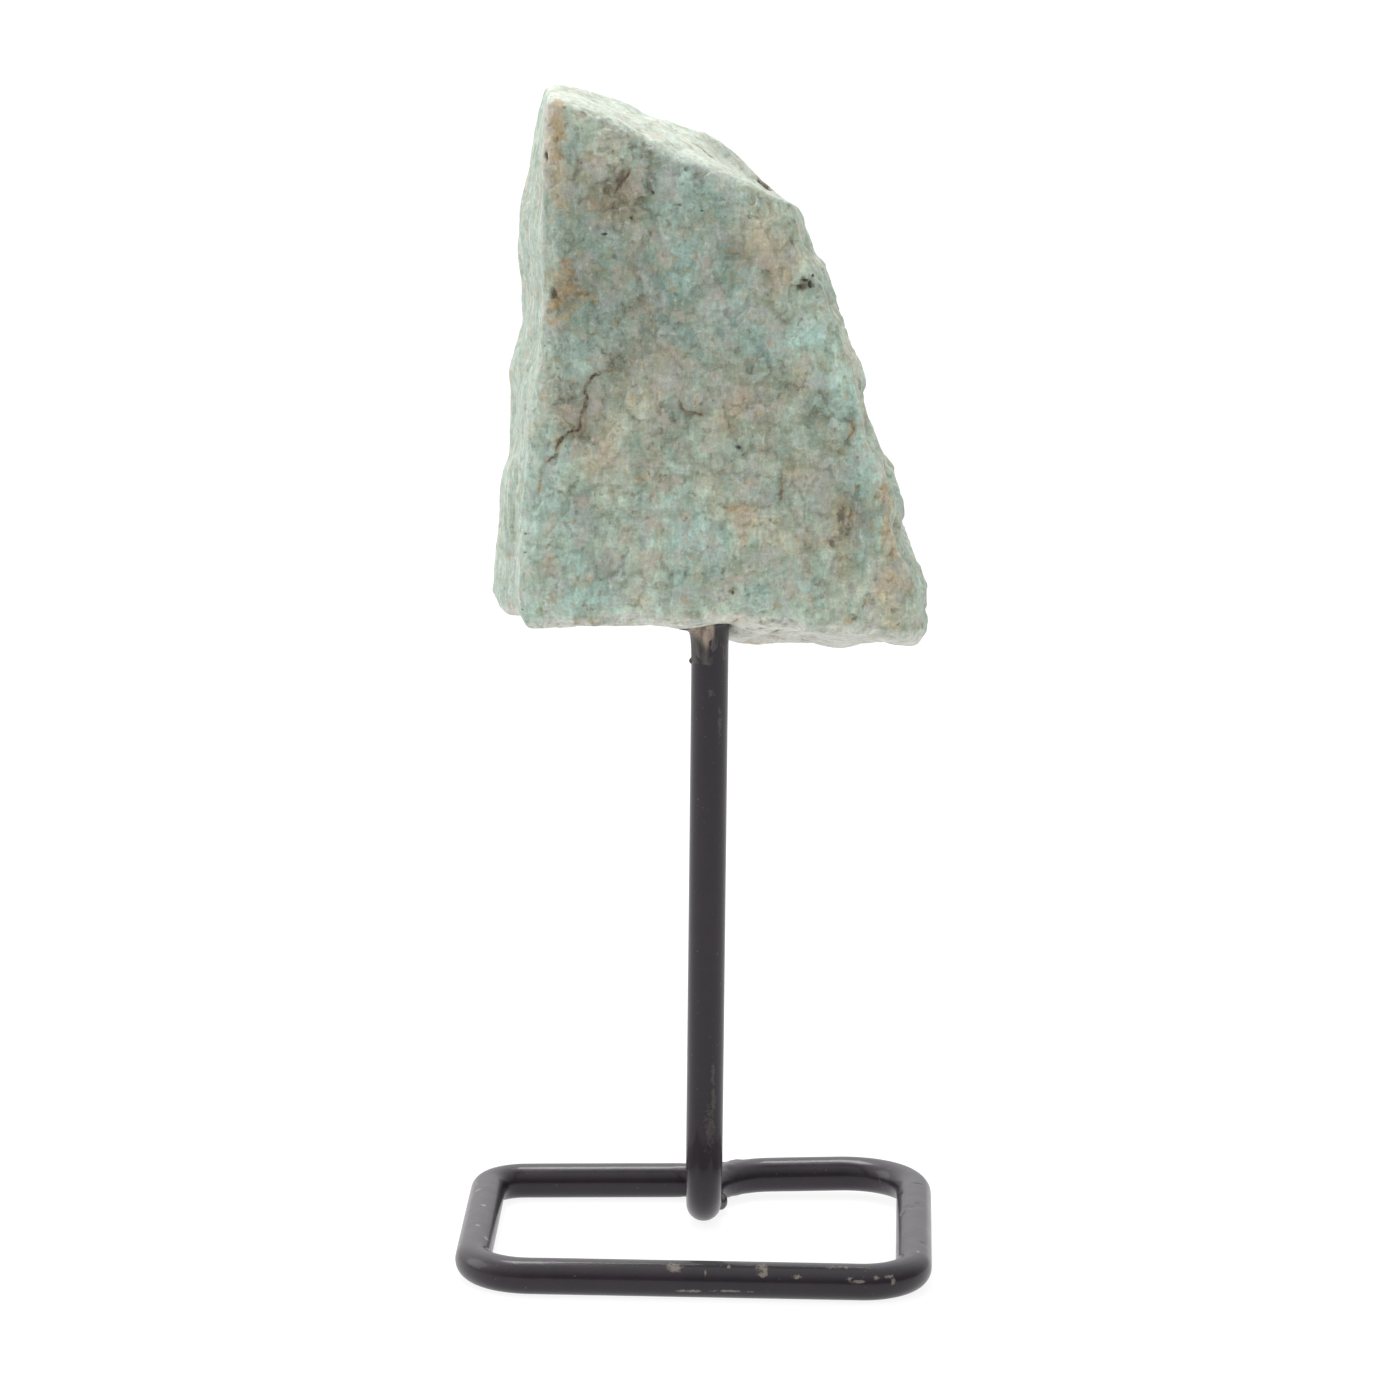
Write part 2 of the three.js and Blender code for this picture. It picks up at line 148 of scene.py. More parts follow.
def merged_copy(node, name):
    """A CAD node's triangles as one joined mesh in an object of its own."""
    joined = bmesh.new()
    joined.from_mesh(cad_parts[node].data)
    bmesh.ops.remove_doubles(joined, verts=joined.verts, dist=1e-6)
    mesh = bpy.data.meshes.new(name)
    joined.to_mesh(mesh)
    joined.free()
    made = bpy.data.objects.new(name, mesh)
    scene.collection.objects.link(made)
    return made


def settle(piece):
    """Turns what the modifiers make into the piece's plain mesh."""
    bpy.context.view_layer.update()
    shown = piece.evaluated_get(bpy.context.evaluated_depsgraph_get())
    mesh = bpy.data.meshes.new_from_object(shown)
    piece.modifiers.clear()
    piece.data = mesh
    mesh.name = piece.name
    return mesh


def even_skin(piece, step):
    """Remakes a piece with one even skin of small squares, step mm wide."""
    remesh = piece.modifiers.new("Even skin", "REMESH")
    remesh.mode = "VOXEL"
    remesh.voxel_size = step / 1000
    return settle(piece)


def points_of(mesh):
    flat = np.empty(len(mesh.vertices) * 3, np.float32)
    mesh.vertices.foreach_get("co", flat)
    return flat.reshape(-1, 3).astype(float) * 1000


def place_points(mesh, points):
    mesh.vertices.foreach_set("co", (points / 1000).astype(np.float32).ravel())
    mesh.polygons.foreach_set("use_smooth", [True] * len(mesh.polygons))
    mesh.update()


def normals_of(mesh):
    flat = np.empty(len(mesh.vertices) * 3, np.float32)
    mesh.vertex_normals.foreach_get("vector", flat)
    return flat.reshape(-1, 3).astype(float)


def edges_of(mesh):
    flat = np.empty(len(mesh.edges) * 2, np.int32)
    mesh.edges.foreach_get("vertices", flat)
    return flat.reshape(-1, 2)


def eased(values, edges, rounds, share=0.5):
    """Each point's values drawn towards the mean of its neighbours, round after round."""
    a, b = edges.T
    count = np.bincount(edges.ravel(), minlength=len(values)).astype(float)
    flat = values.reshape(len(values), -1).copy()
    for _ in range(rounds):
        total = np.stack([
            np.bincount(a, flat[b, k], len(flat)) + np.bincount(b, flat[a, k], len(flat))
            for k in range(flat.shape[1])
        ], 1)
        flat += share * (total / count[:, None] - flat)
    return flat.reshape(values.shape)


def evened(points, edges, rounds):
    """Rounds off facets and sharp edges without shrinking the piece."""
    for _ in range(rounds):
        points = eased(eased(points, edges, 1, 0.5), edges, 1, -0.52)
    return points


def cell_value(cells, channel):
    """A fixed number from 0 to 1 for each whole-numbered cell."""
    i, j, k = (cells[..., axis].astype(np.int64) for axis in range(3))
    h = (i * 374761393) ^ (j * 668265263) ^ (k * 2147483647)
    h = ((h ^ (h >> 13)) ^ (channel * 1274126177)) * 1103515245
    h = ((h ^ (h >> 16)) & 0xFFFFFFFF) * 2246822519
    return ((h ^ (h >> 15)) & 0xFFFFFF) / 0xFFFFFF


def cloud(points, size, seed, octaves=1):
    """Smooth noise from -1 to 1. Size is its grain in mm, which each octave halves with its height."""
    size = np.asarray(size, float)
    if octaves > 1:
        parts = [cloud(points, size / 2 ** k, seed + 17 * k) / 2 ** k for k in range(octaves)]
        return sum(parts) / sum(0.5 ** k for k in range(octaves))
    place = points / size
    home = np.floor(place)
    share = place - home
    share = share ** 3 * (share * (share * 6 - 15) + 10)
    total = 0
    for corner in range(8):
        step = np.array([corner & 1, corner >> 1 & 1, corner >> 2 & 1])
        total = total + np.where(step, share, 1 - share).prod(-1) * cell_value(home + step, seed)
    return 2 * total - 1


def clouds(points, size, seeds, octaves):
    """A cloud for each of the seeds, side by side."""
    return np.stack([cloud(points, size, seed, octaves) for seed in seeds], -1)


def chips(points, size, seed, rise, lean):
    """Flat patches like split crystal: each is up to rise mm high or low, and slopes by up to lean."""
    size = np.asarray(size, float)
    place = points / size
    home = np.floor(place)
    best = np.full(len(points), 9.0)
    height = np.zeros(len(points))
    for step in np.ndindex(3, 3, 3):
        cell = home + np.array(step) - 1
        away = place - cell - np.stack([cell_value(cell, seed + axis) for axis in range(3)], -1)
        slope = np.stack([2 * cell_value(cell, seed + 4 + axis) - 1 for axis in range(3)], -1)
        mine = rise * (2 * cell_value(cell, seed + 3) - 1) + lean * (away * size * slope).sum(-1)
        gap = (away ** 2).sum(-1)
        height = np.where(gap < best, mine, height)
        best = np.minimum(gap, best)
    return height


def ramp(low, high, value):
    """0 below low, 1 above high, and smooth between them."""
    share = np.clip((value - low) / (high - low), 0, 1)
    return share * share * (3 - 2 * share)


def hump(middle, width, value):
    """1 at the middle, falling off smoothly to both sides."""
    return np.exp(-((value - middle) / width) ** 2)


def reach_of(flat_points, mark):
    """How far points lie from a mark's middle, where 1 is its edge: middle, half width, half height."""
    shift = (flat_points - mark[:2]) / mark[2:4]
    return np.hypot(*shift.T)


def nearest_on_line(flat_points, line):
    """Distance to a line of points, positive on its left, and the share of its length where that is."""
    line = np.asarray(line, float)
    lengths = np.linalg.norm(np.diff(line, axis=0), axis=1)
    best = np.full(len(flat_points), 1e9)
    side, along = best.copy(), np.zeros(len(flat_points))
    for k, (start, end) in enumerate(zip(line[:-1], line[1:])):
        run = end - start
        share = np.clip(((flat_points - start) @ run) / (run @ run), 0, 1)
        away = flat_points - start - share[:, None] * run
        gap = np.hypot(*away.T)
        nearer = gap < best
        turn = run[0] * away[:, 1] - run[1] * away[:, 0]
        side = np.where(nearer, np.where(turn >= 0, gap, -gap), side)
        along = np.where(nearer, (lengths[:k].sum() + share * lengths[k]) / lengths.sum(), along)
        best = np.minimum(gap, best)
    return side, along


def note(mesh, name, values):
    """Keeps a number for each point of a mesh, for its material to read."""
    mesh.attributes.new(name, "FLOAT", "POINT").data.foreach_set("value", values.astype(np.float32))


stone = merged_copy("amazonite_stone", "amazonite")
mesh = even_skin(stone, SKIN_STEP)
edges = edges_of(mesh)
points = evened(points_of(mesh), edges, WORN_ROUNDS)
place_points(mesh, points)


def clear_of_bore(points):
    """0 at the drilled hole and 1 away from it."""
    by_bore = np.hypot(points[:, 0] - BORE_AXIS[0], points[:, 1] - BORE_AXIS[1])
    return 1 - ramp(6.5, 4.0, by_bore) * ramp(4, 1, np.abs(points[:, 2] - STONE_SEAT))


# Wear has rounded the edges most where they stand out, and mostly from the front.
eased_points = eased(points, edges, ROUNDED_ROUNDS)
standing_out = np.einsum("ij,ij->i", points - eased_points, normals_of(mesh))
worn = ramp(0.03, 0.22, standing_out) * clear_of_bore(points)
points = points + worn[:, None] * (eased_points - points) * EDGE_WEAR

# The underside rises in front of the drilled hole and sinks behind it on the right. Its front
# left corner hangs a little lower, and the step on the left side ends higher.
local = points - np.array([0, 0, STONE_SEAT])
across, deep, high = local.T
lifted = (
    0.95 * hump(3.2, 4.6, across) * ramp(-3, -8, deep)
    + 1.10 * hump(2.7, 2.9, across) * ramp(8, 3.5, deep) * ramp(-9, -6, deep)
    - 0.60 * hump(4.4, 2.6, across) * ramp(5, 9, deep)
    + 0.55 * ramp(-18.9, -19.9, across)
    - 0.28 * hump(-15.3, 2.6, across) * ramp(-4, -8, deep)
)
points[:, 2] += ramp(6.5, 2.0, high) * lifted

# The crest stands highest at its left end and dips beside it.
crest = 0.20 * hump(-16.3, 1.6, across) - 0.35 * hump(-10.8, 2.4, across)
points[:, 2] += ramp(56, 59, high + 0.6 * (across + 16)) * crest
place_points(mesh, points)

# The front shows the finest marks, so its skin is split once more.
finer = bmesh.new()
finer.from_mesh(mesh)
broad = [f for f in finer.faces if f.normal.y < FRONT_TILT and f.calc_center_median().y < FRONT_DEPTH]
split = {edge for face in broad for edge in face.edges}
bmesh.ops.subdivide_edges(finer, edges=list(split), cuts=1, use_grid_fill=True)
bmesh.ops.triangulate(finer, faces=[f for f in finer.faces if len(f.verts) > 4])
finer.to_mesh(mesh)
finer.free()

edges = edges_of(mesh)
points = evened(points_of(mesh), edges, 2)
place_points(mesh, points)
local = points - np.array([0, 0, STONE_SEAT])
facing = eased(normals_of(mesh), edges, 14)
facing /= np.linalg.norm(facing, axis=1)[:, None]
front = ramp(0.70, 0.93, -facing[:, 1])
free = clear_of_bore(points)

# Which face of the stone a point is on, and the two directions that its marks are given in.
FACES = {
    "front": ((0, 2), ramp(-3.0, -5.0, local[:, 1]) * ramp(0.15, 0.4, -facing[:, 1])),
    "left": ((1, 2), ramp(0.35, 0.6, -facing[:, 0])),
    "top": ((0, 1), ramp(0.45, 0.65, facing[:, 2])),
    "under": ((0, 1), ramp(0.30, 0.5, -facing[:, 2])),
}
rim = FACES["front"][1] * ramp(7.5, 4.0, local[:, 2])
calm = np.max([FACES[face][1] for face in ("left", "top", "under")] + [0.8 * rim], 0)

# Cleavage leaves flat patches that step up and down, taller than wide on the upright faces.
# The left side and the top split cleaner, with fine threads along them.
wobble = clouds(local, 2.2, (5, 6, 7), 2)
broken = (1 - front) * (1 - calm) * ramp(-6, -2, local[:, 1])
rise = 1 + 0.3 * front + 0.4 * broken - 0.7 * calm
lengthways = 0.5 * local[:, 0] + 0.9 * local[:, 2]
top_threads = cloud(np.stack([lengthways, local[:, 1], lengthways], -1), [9.0, 0.6, 9.0], 87, 2)
threads = np.where(FACES["top"][1] > 0.5, top_threads, cloud(local, [0.7, 0.7, 9.0], 83, 2))
move = (
    rise * chips(local + 0.9 * wobble, [3.6, 3.6, 5.2], 31, 0.075, 0.095)
    + rise * chips(local + 0.4 * wobble, [1.7, 1.7, 2.4], 57, 0.040, 0.120)
    + front * chips(local + 0.3 * wobble, [0.8, 0.8, 1.15], 77, 0.016, 0.100)
    + 0.04 * (1 - front) * threads
    + 0.08 * cloud(local, [5.0, 5.0, 8.0], 91, 2)
)
move = eased(move, edges, 1, 0.4)

# Cracks and small ledges of each face: its two measures along each, the width of the open crack,
# how far its right-hand side lies below its left-hand one, and how far back that reaches.
MAIN_CRACK = [
    (-9, 32.3), (-9.7, 31.9), (-10.7, 32), (-11.8, 31.1), (-12.5, 30.3), (-12.5, 28.8),
    (-12.7, 27.6), (-13.2, 26.7), (-13.2, 25.6), (-14.2, 25.1), (-15.3, 24.6), (-15.7, 23.8),
    (-16, 22.4), (-17.2, 21.6),
]
BREAKS = {
    "front": [
        (MAIN_CRACK, 0.14, -0.36, 1.6),
        ([(-17.2, 21.6), (-17.3, 20.4), (-17.8, 18.6), (-18.7, 17.5)], 0.03, -0.24, 1),
        ([(-15.3, 28), (-14.7, 26.2), (-13.7, 25.6)], 0.03, 0.16, 0.8),
        ([(-7.4, 54.1), (-7.9, 53.2), (-8.6, 52.2), (-9.2, 51.1)], 0.12, 0.5, 1.2),
        ([(-2.3, 29), (-2, 28), (-1.4, 27.5), (-0.6, 27.4), (0.5, 27.2)], 0.07, 0.8, 0.8),
        ([(15.8, 26.8), (16.7, 26.2), (16.9, 25.4), (16.4, 24.3), (16.6, 23.2)], 0.05, 0.2, 0.7),
        ([(-11.8, 19.2), (-9.6, 19.1), (-8.2, 19.2), (-6.4, 19.6), (-3.6, 20)], 0, -0.24, 1.3),
        ([(-17, 18), (-15.4, 18.7), (-14, 17.6), (-14.1, 15.2)], 0, 0.3, 0.8),
        ([(-6.2, 43.6), (-6.2, 41.2), (-6.4, 39.4)], 0, 0.26, 1.2),
        ([(-13.6, 40.4), (-12.4, 40.1), (-11.6, 40.5)], 0, -0.45, 0.9),
        ([(-15.6, 43.4), (-14, 43.9), (-13.6, 42.2), (-13.8, 39.6)], 0, -0.22, 0.8),
        ([(-12.9, 58.6), (-9.4, 59.4), (-7.4, 57.6), (-6, 56.2)], 0, 0.12, 1.2),
        ([(-10.9, 49.2), (-8.3, 49.6), (-6.8, 49.9)], 0, -0.3, 1),
        ([(-6.6, 54.4), (-4.9, 53.2), (-4.6, 51.4)], 0, 0.24, 1),
        ([(-16.8, 45.6), (-14.8, 45.9), (-13.4, 45.4)], 0, -0.2, 1.2),
        ([(2, 17.3), (4.2, 17.6), (6.4, 17.2), (7.4, 16.4)], 0, -0.22, 1),
        ([(8.9, 21.6), (9.1, 19.4), (8.8, 16.8)], 0.03, 0.3, 0.9),
        ([(14.2, 13.5), (17, 13.6)], 0.03, -0.26, 0.9),
        ([(-2.6, 8), (-1.6, 9), (-0.4, 9.4)], 0, -0.24, 0.9),
        ([(-4.6, 15.2), (-4.4, 12.9)], 0, 0.2, 0.7),
        ([(-6.2, 11), (-6.3, 8.3)], 0, 0.24, 0.7),
        ([(20.2, 19.4), (21.4, 17.8), (21.2, 15.4)], 0, 0.3, 1),
    ],
    "left": [
        ([(-4.6, 21), (-4.9, 14.6), (-5.3, 10), (-5.4, 4)], 0, -0.6, 1.6),
    ],
    "top": [
        ([(-0.6, 2.3), (0.6, 1.9), (1.8, 1), (3, -2.2)], 0.12, 0.15, 0.8),
        ([(6.5, 8), (7.5, 8.9), (8.5, 9.3)], 0.45, 0.2, 1),
        ([(-12, 4), (-10.7, 3.6)], 0.25, 0.1, 0.8),
    ],
    "under": [
        ([(3.6, -2.4), (4.3, -9)], 0.1, 0.2, 1),
        ([(7.6, -1.4), (10.4, -4.4), (12.6, -5)], 0.06, 0.2, 1),
    ],
}
jitter = clouds(local, 0.9, (61, 62), 2)
nearest = np.full(len(local), 9.0)
crack = np.full(len(local), 9.0)
crack_width = np.zeros(len(local))
for face, lines in BREAKS.items():
    axes, there = FACES[face]
    for line, width, step, reach in lines:
        side, along = nearest_on_line(local[:, axes] + 0.22 * jitter, line)
        gap = np.abs(side)
        taper = np.clip(4.5 * np.minimum(along, 1 - along), 0, 1) ** 0.6 * there
        opening = width * taper * (1 + 0.5 * cloud(local, 1.1, 63))
        move -= (0.7 * opening + 0.06 * (width > 0) * taper) * ramp(0.28, 0.0, gap - 0.5 * opening)
        move += 0.5 * step * taper * np.sign(side) * np.exp(-gap / reach)
        nearer = (width > 0) & (taper > 0) & (gap < nearest)
        nearest = np.where(nearer, gap, nearest)
        crack = np.where(nearer, side, crack)
        crack_width = np.where(nearer, opening * ramp(1.3, 0.8, gap), crack_width)

# Pits that were left where a grain fell out: the two measures, half width and half height, depth.
PITS = {
    "front": [
        (-7.5, 48.6, 0.22, 0.24, 0.4), (-10.4, 46.8, 0.3, 0.18, 0.4), (-5.2, 51.3, 0.16, 0.28, 0.3),
        (-9.4, 55.7, 0.16, 0.16, 0.25), (-9.9, 55.5, 0.12, 0.12, 0.2), (-2.2, 50, 0.16, 0.14, 0.25),
        (0.3, 49.4, 0.18, 0.12, 0.25), (11.6, 41.7, 0.5, 0.3, 0.5), (4.3, 23.5, 0.24, 0.28, 0.4),
        (12.3, 41.3, 0.28, 0.45, 0.6), (12.6, 42.2, 0.25, 0.18, 0.4), (11.1, 41, 0.28, 0.18, 0.4),
        (-16.7, 55.2, 0.16, 0.6, 0.4), (-15.9, 40.3, 0.4, 0.6, 0.5), (-17.1, 34.6, 0.18, 0.12, 0.2),
        (3.7, 7.4, 0.2, 0.24, 0.2), (-19.2, 13.7, 0.14, 0.16, 0.2), (-19.2, 11.7, 0.12, 0.12, 0.2),
        (-19.2, 9.4, 0.14, 0.14, 0.2), (-19.3, 7.6, 0.12, 0.12, 0.2), (-19.6, 5.2, 0.16, 0.14, 0.2),
    ],
    "left": [
        (-8.5, 13.7, 0.16, 0.16, 0.2), (-8.8, 11.7, 0.14, 0.14, 0.2), (-8.9, 9.4, 0.16, 0.16, 0.2),
        (-8.9, 7.6, 0.14, 0.14, 0.2), (-8.8, 5.2, 0.18, 0.16, 0.2), (-5.3, 6.4, 0.45, 0.4, 0.3),
    ],
}
pit = np.full(len(local), 4.0)
for face, marks in PITS.items():
    axes, there = FACES[face]
    for mark in marks:
        reach = reach_of(local[:, axes] + 0.12 * jitter, mark) + 4 * (1 - there)
        move -= mark[4] * ramp(1.4, 0.2, reach)
        pit = np.minimum(pit, reach)

points = points + (move * free)[:, None] * facing
place_points(mesh, points)
hollow = np.einsum("ij,ij->i", eased(points, edges, 6) - points, normals_of(mesh))
bulge = np.einsum("ij,ij->i", eased(points, edges, 60) - points, facing)

# How the green shifts over the front: "tone" from dark (-) to light (+) and "hue" from bluish
# (-) to tan (+), each a middle, half width, half height and strength. The tone marks are partly
# the stone's own and partly painted light and shade across the face.
SHIFTS = {
    "tone": [
        (-1, 9, 20, 9, 0.7), (-8, 40, 8, 11, -0.5), (18, 28.4, 1.4, 3, 1), (20.4, 21, 1.2, 2, 0.9),
        (12.2, 45.4, 1.4, 2.8, 0.8), (20.6, 6.4, 1.4, 1.6, 0.9), (-13, 28, 3.4, 6, -0.7),
        (-11.6, 59, 3, 1.6, 1.5), (3, 51.6, 4.4, 2.8, 0.8), (18.2, 27.5, 1.8, 3.8, 1),
        (20.8, 13, 2, 7, 0.9), (-11.1, 15, 1.8, 3.2, 0.8), (-2.6, 46, 2, 4, -0.7),
        (-15.6, 53.5, 1.4, 2.4, 0.7), (-5.2, 7.6, 2, 1.6, -0.7), (-5.2, 55.6, 1.8, 0.9, 0.8),
        (-1, 53, 2, 1, 0.7), (8, 48.4, 2, 0.9, 0.6), (-0.4, 28.8, 1, 0.9, 1),
        (-8.4, 51.8, 1.4, 2.4, -1.4), (-10.6, 49.2, 4.4, 1.9, -0.6), (-9, 42, 7, 8, -1),
        (1, 37, 8, 7.5, -0.9), (15.6, 32.4, 1.8, 5.6, 1.5), (19, 22.4, 1.8, 4, 1.5),
        (12.8, 39.2, 1.4, 3, 0.9), (10, 25.6, 4, 3.6, -0.5), (-14.6, 31.4, 2.2, 2.4, -0.5),
        (-9.4, 57, 1.6, 1.4, 0.8), (-8, 51.6, 3.6, 3.2, -0.8), (-5, 52.6, 2.2, 2, 0.7),
        (-13.6, 41, 2, 5.4, -0.7), (-13.8, 27.6, 2.2, 4, -1.2), (11, 35.4, 4.4, 2, 1.1),
        (-11, 18.2, 3.4, 2, 0.7), (-3, 19.8, 2.6, 2.8, 0.5), (16.3, 15.8, 2, 3, -0.9),
        (9.4, 19.8, 1.8, 3, -0.9), (10, 29.2, 6, 1.8, -0.6), (-16, 15.2, 1.6, 2.2, -0.8),
        (-3.9, 8.6, 1.5, 2.2, -0.8), (-13.4, 11, 3.2, 4, -0.5), (18, 8.8, 5, 3.4, 0.5),
        (1, 18.6, 2.6, 1.5, 0.5), (-6.6, 56.6, 2.2, 0.9, -0.9), (-16.4, 47, 1.6, 3.4, -0.5),
        (-17, 33.6, 1.2, 4, 0.6), (-18, 8, 1.4, 8, 0.7), (-4, 4.8, 18, 1.7, 1.2),
        (-19, 10, 1.6, 9, 0.8), (-18, 27, 1.2, 9, 0.8), (5.4, 47.6, 3, 1.8, 0.5),
    ],
    "hue": [
        (5.9, 43, 1.4, 2.8, -0.8), (1, 19.8, 1.6, 2, 0.7), (5.9, 6.4, 1.6, 1.6, -0.9),
        (-9.6, 52.6, 4.2, 2.6, 1), (-16, 51.5, 1.2, 2.5, 0.7), (-2.5, 33.2, 2.4, 1.8, 0.8),
        (13.2, 30.6, 1.4, 1.4, -0.9), (-11.1, 22, 2.4, 2, 1), (19.2, 14, 1.8, 5, -0.7),
        (22.8, 13, 1, 2.2, 1), (9.5, 42.6, 1.6, 1.4, 0.9), (-6.2, 6.4, 1.8, 1.1, 0.9),
        (9.6, 8, 2.4, 2.4, 0.5), (-1.6, 42.4, 3, 4.4, -0.8), (-0.6, 35, 2.4, 3.4, -0.6),
        (18.6, 22, 1.8, 4, -1), (18.4, 10.4, 1.6, 4.4, -1), (-5.2, 17.6, 2.8, 2.4, -0.7),
        (-15.4, 39.8, 1.8, 3.6, 1.2), (-13.9, 25.6, 1.9, 2, 1.1), (-15.6, 29.6, 2.2, 2.6, 0.6),
        (-11.2, 29.6, 1.6, 2.2, 0.6), (-1.6, 54, 2.8, 1.8, -0.7), (2, 50.8, 3.4, 1.8, -0.9),
        (3.4, 40.6, 1.6, 7, -0.7), (9.4, 35.2, 5.2, 1.6, -1.2), (-11.2, 45.2, 4.4, 1.5, -0.6),
        (0.6, 13.8, 3.2, 3.2, -1.1), (-13.6, 14.4, 4.4, 4.6, -0.8), (4.8, 16.2, 2.6, 1.7, 0.8),
        (10.8, 20.8, 3.2, 2.4, 0.7), (8.4, 41.2, 2.6, 2.4, 0.7), (17, 14.2, 2.6, 2.6, 0.9),
        (20.9, 9.4, 2.2, 5.6, 1.1), (15.6, 28.2, 2, 1.8, -0.9), (8, 7.6, 6.4, 2.2, -0.7),
        (-10.6, 6.4, 7, 2.6, -0.8), (4.4, 28.4, 3.4, 2.2, 0.6), (-1.4, 47.6, 1.8, 1.8, 0.6),
        (-8.6, 50.2, 2.4, 1.6, 0.7), (-8.6, 37.4, 2.6, 2.2, -0.5), (-3.8, 40.4, 2, 2.2, -0.6),
        (-16, 57.4, 1.2, 4.6, 0.9), (20.6, 17, 1.6, 2, 1), (15, 24.6, 1.6, 1.8, 0.5),
        (-14.4, 56.4, 1.2, 2.6, -0.9), (6, 45.8, 1.8, 2.8, 0.6), (-18.4, 18, 1.4, 7, -0.6),
        (12.2, 15.6, 1.8, 1.8, -0.8),
    ],
}
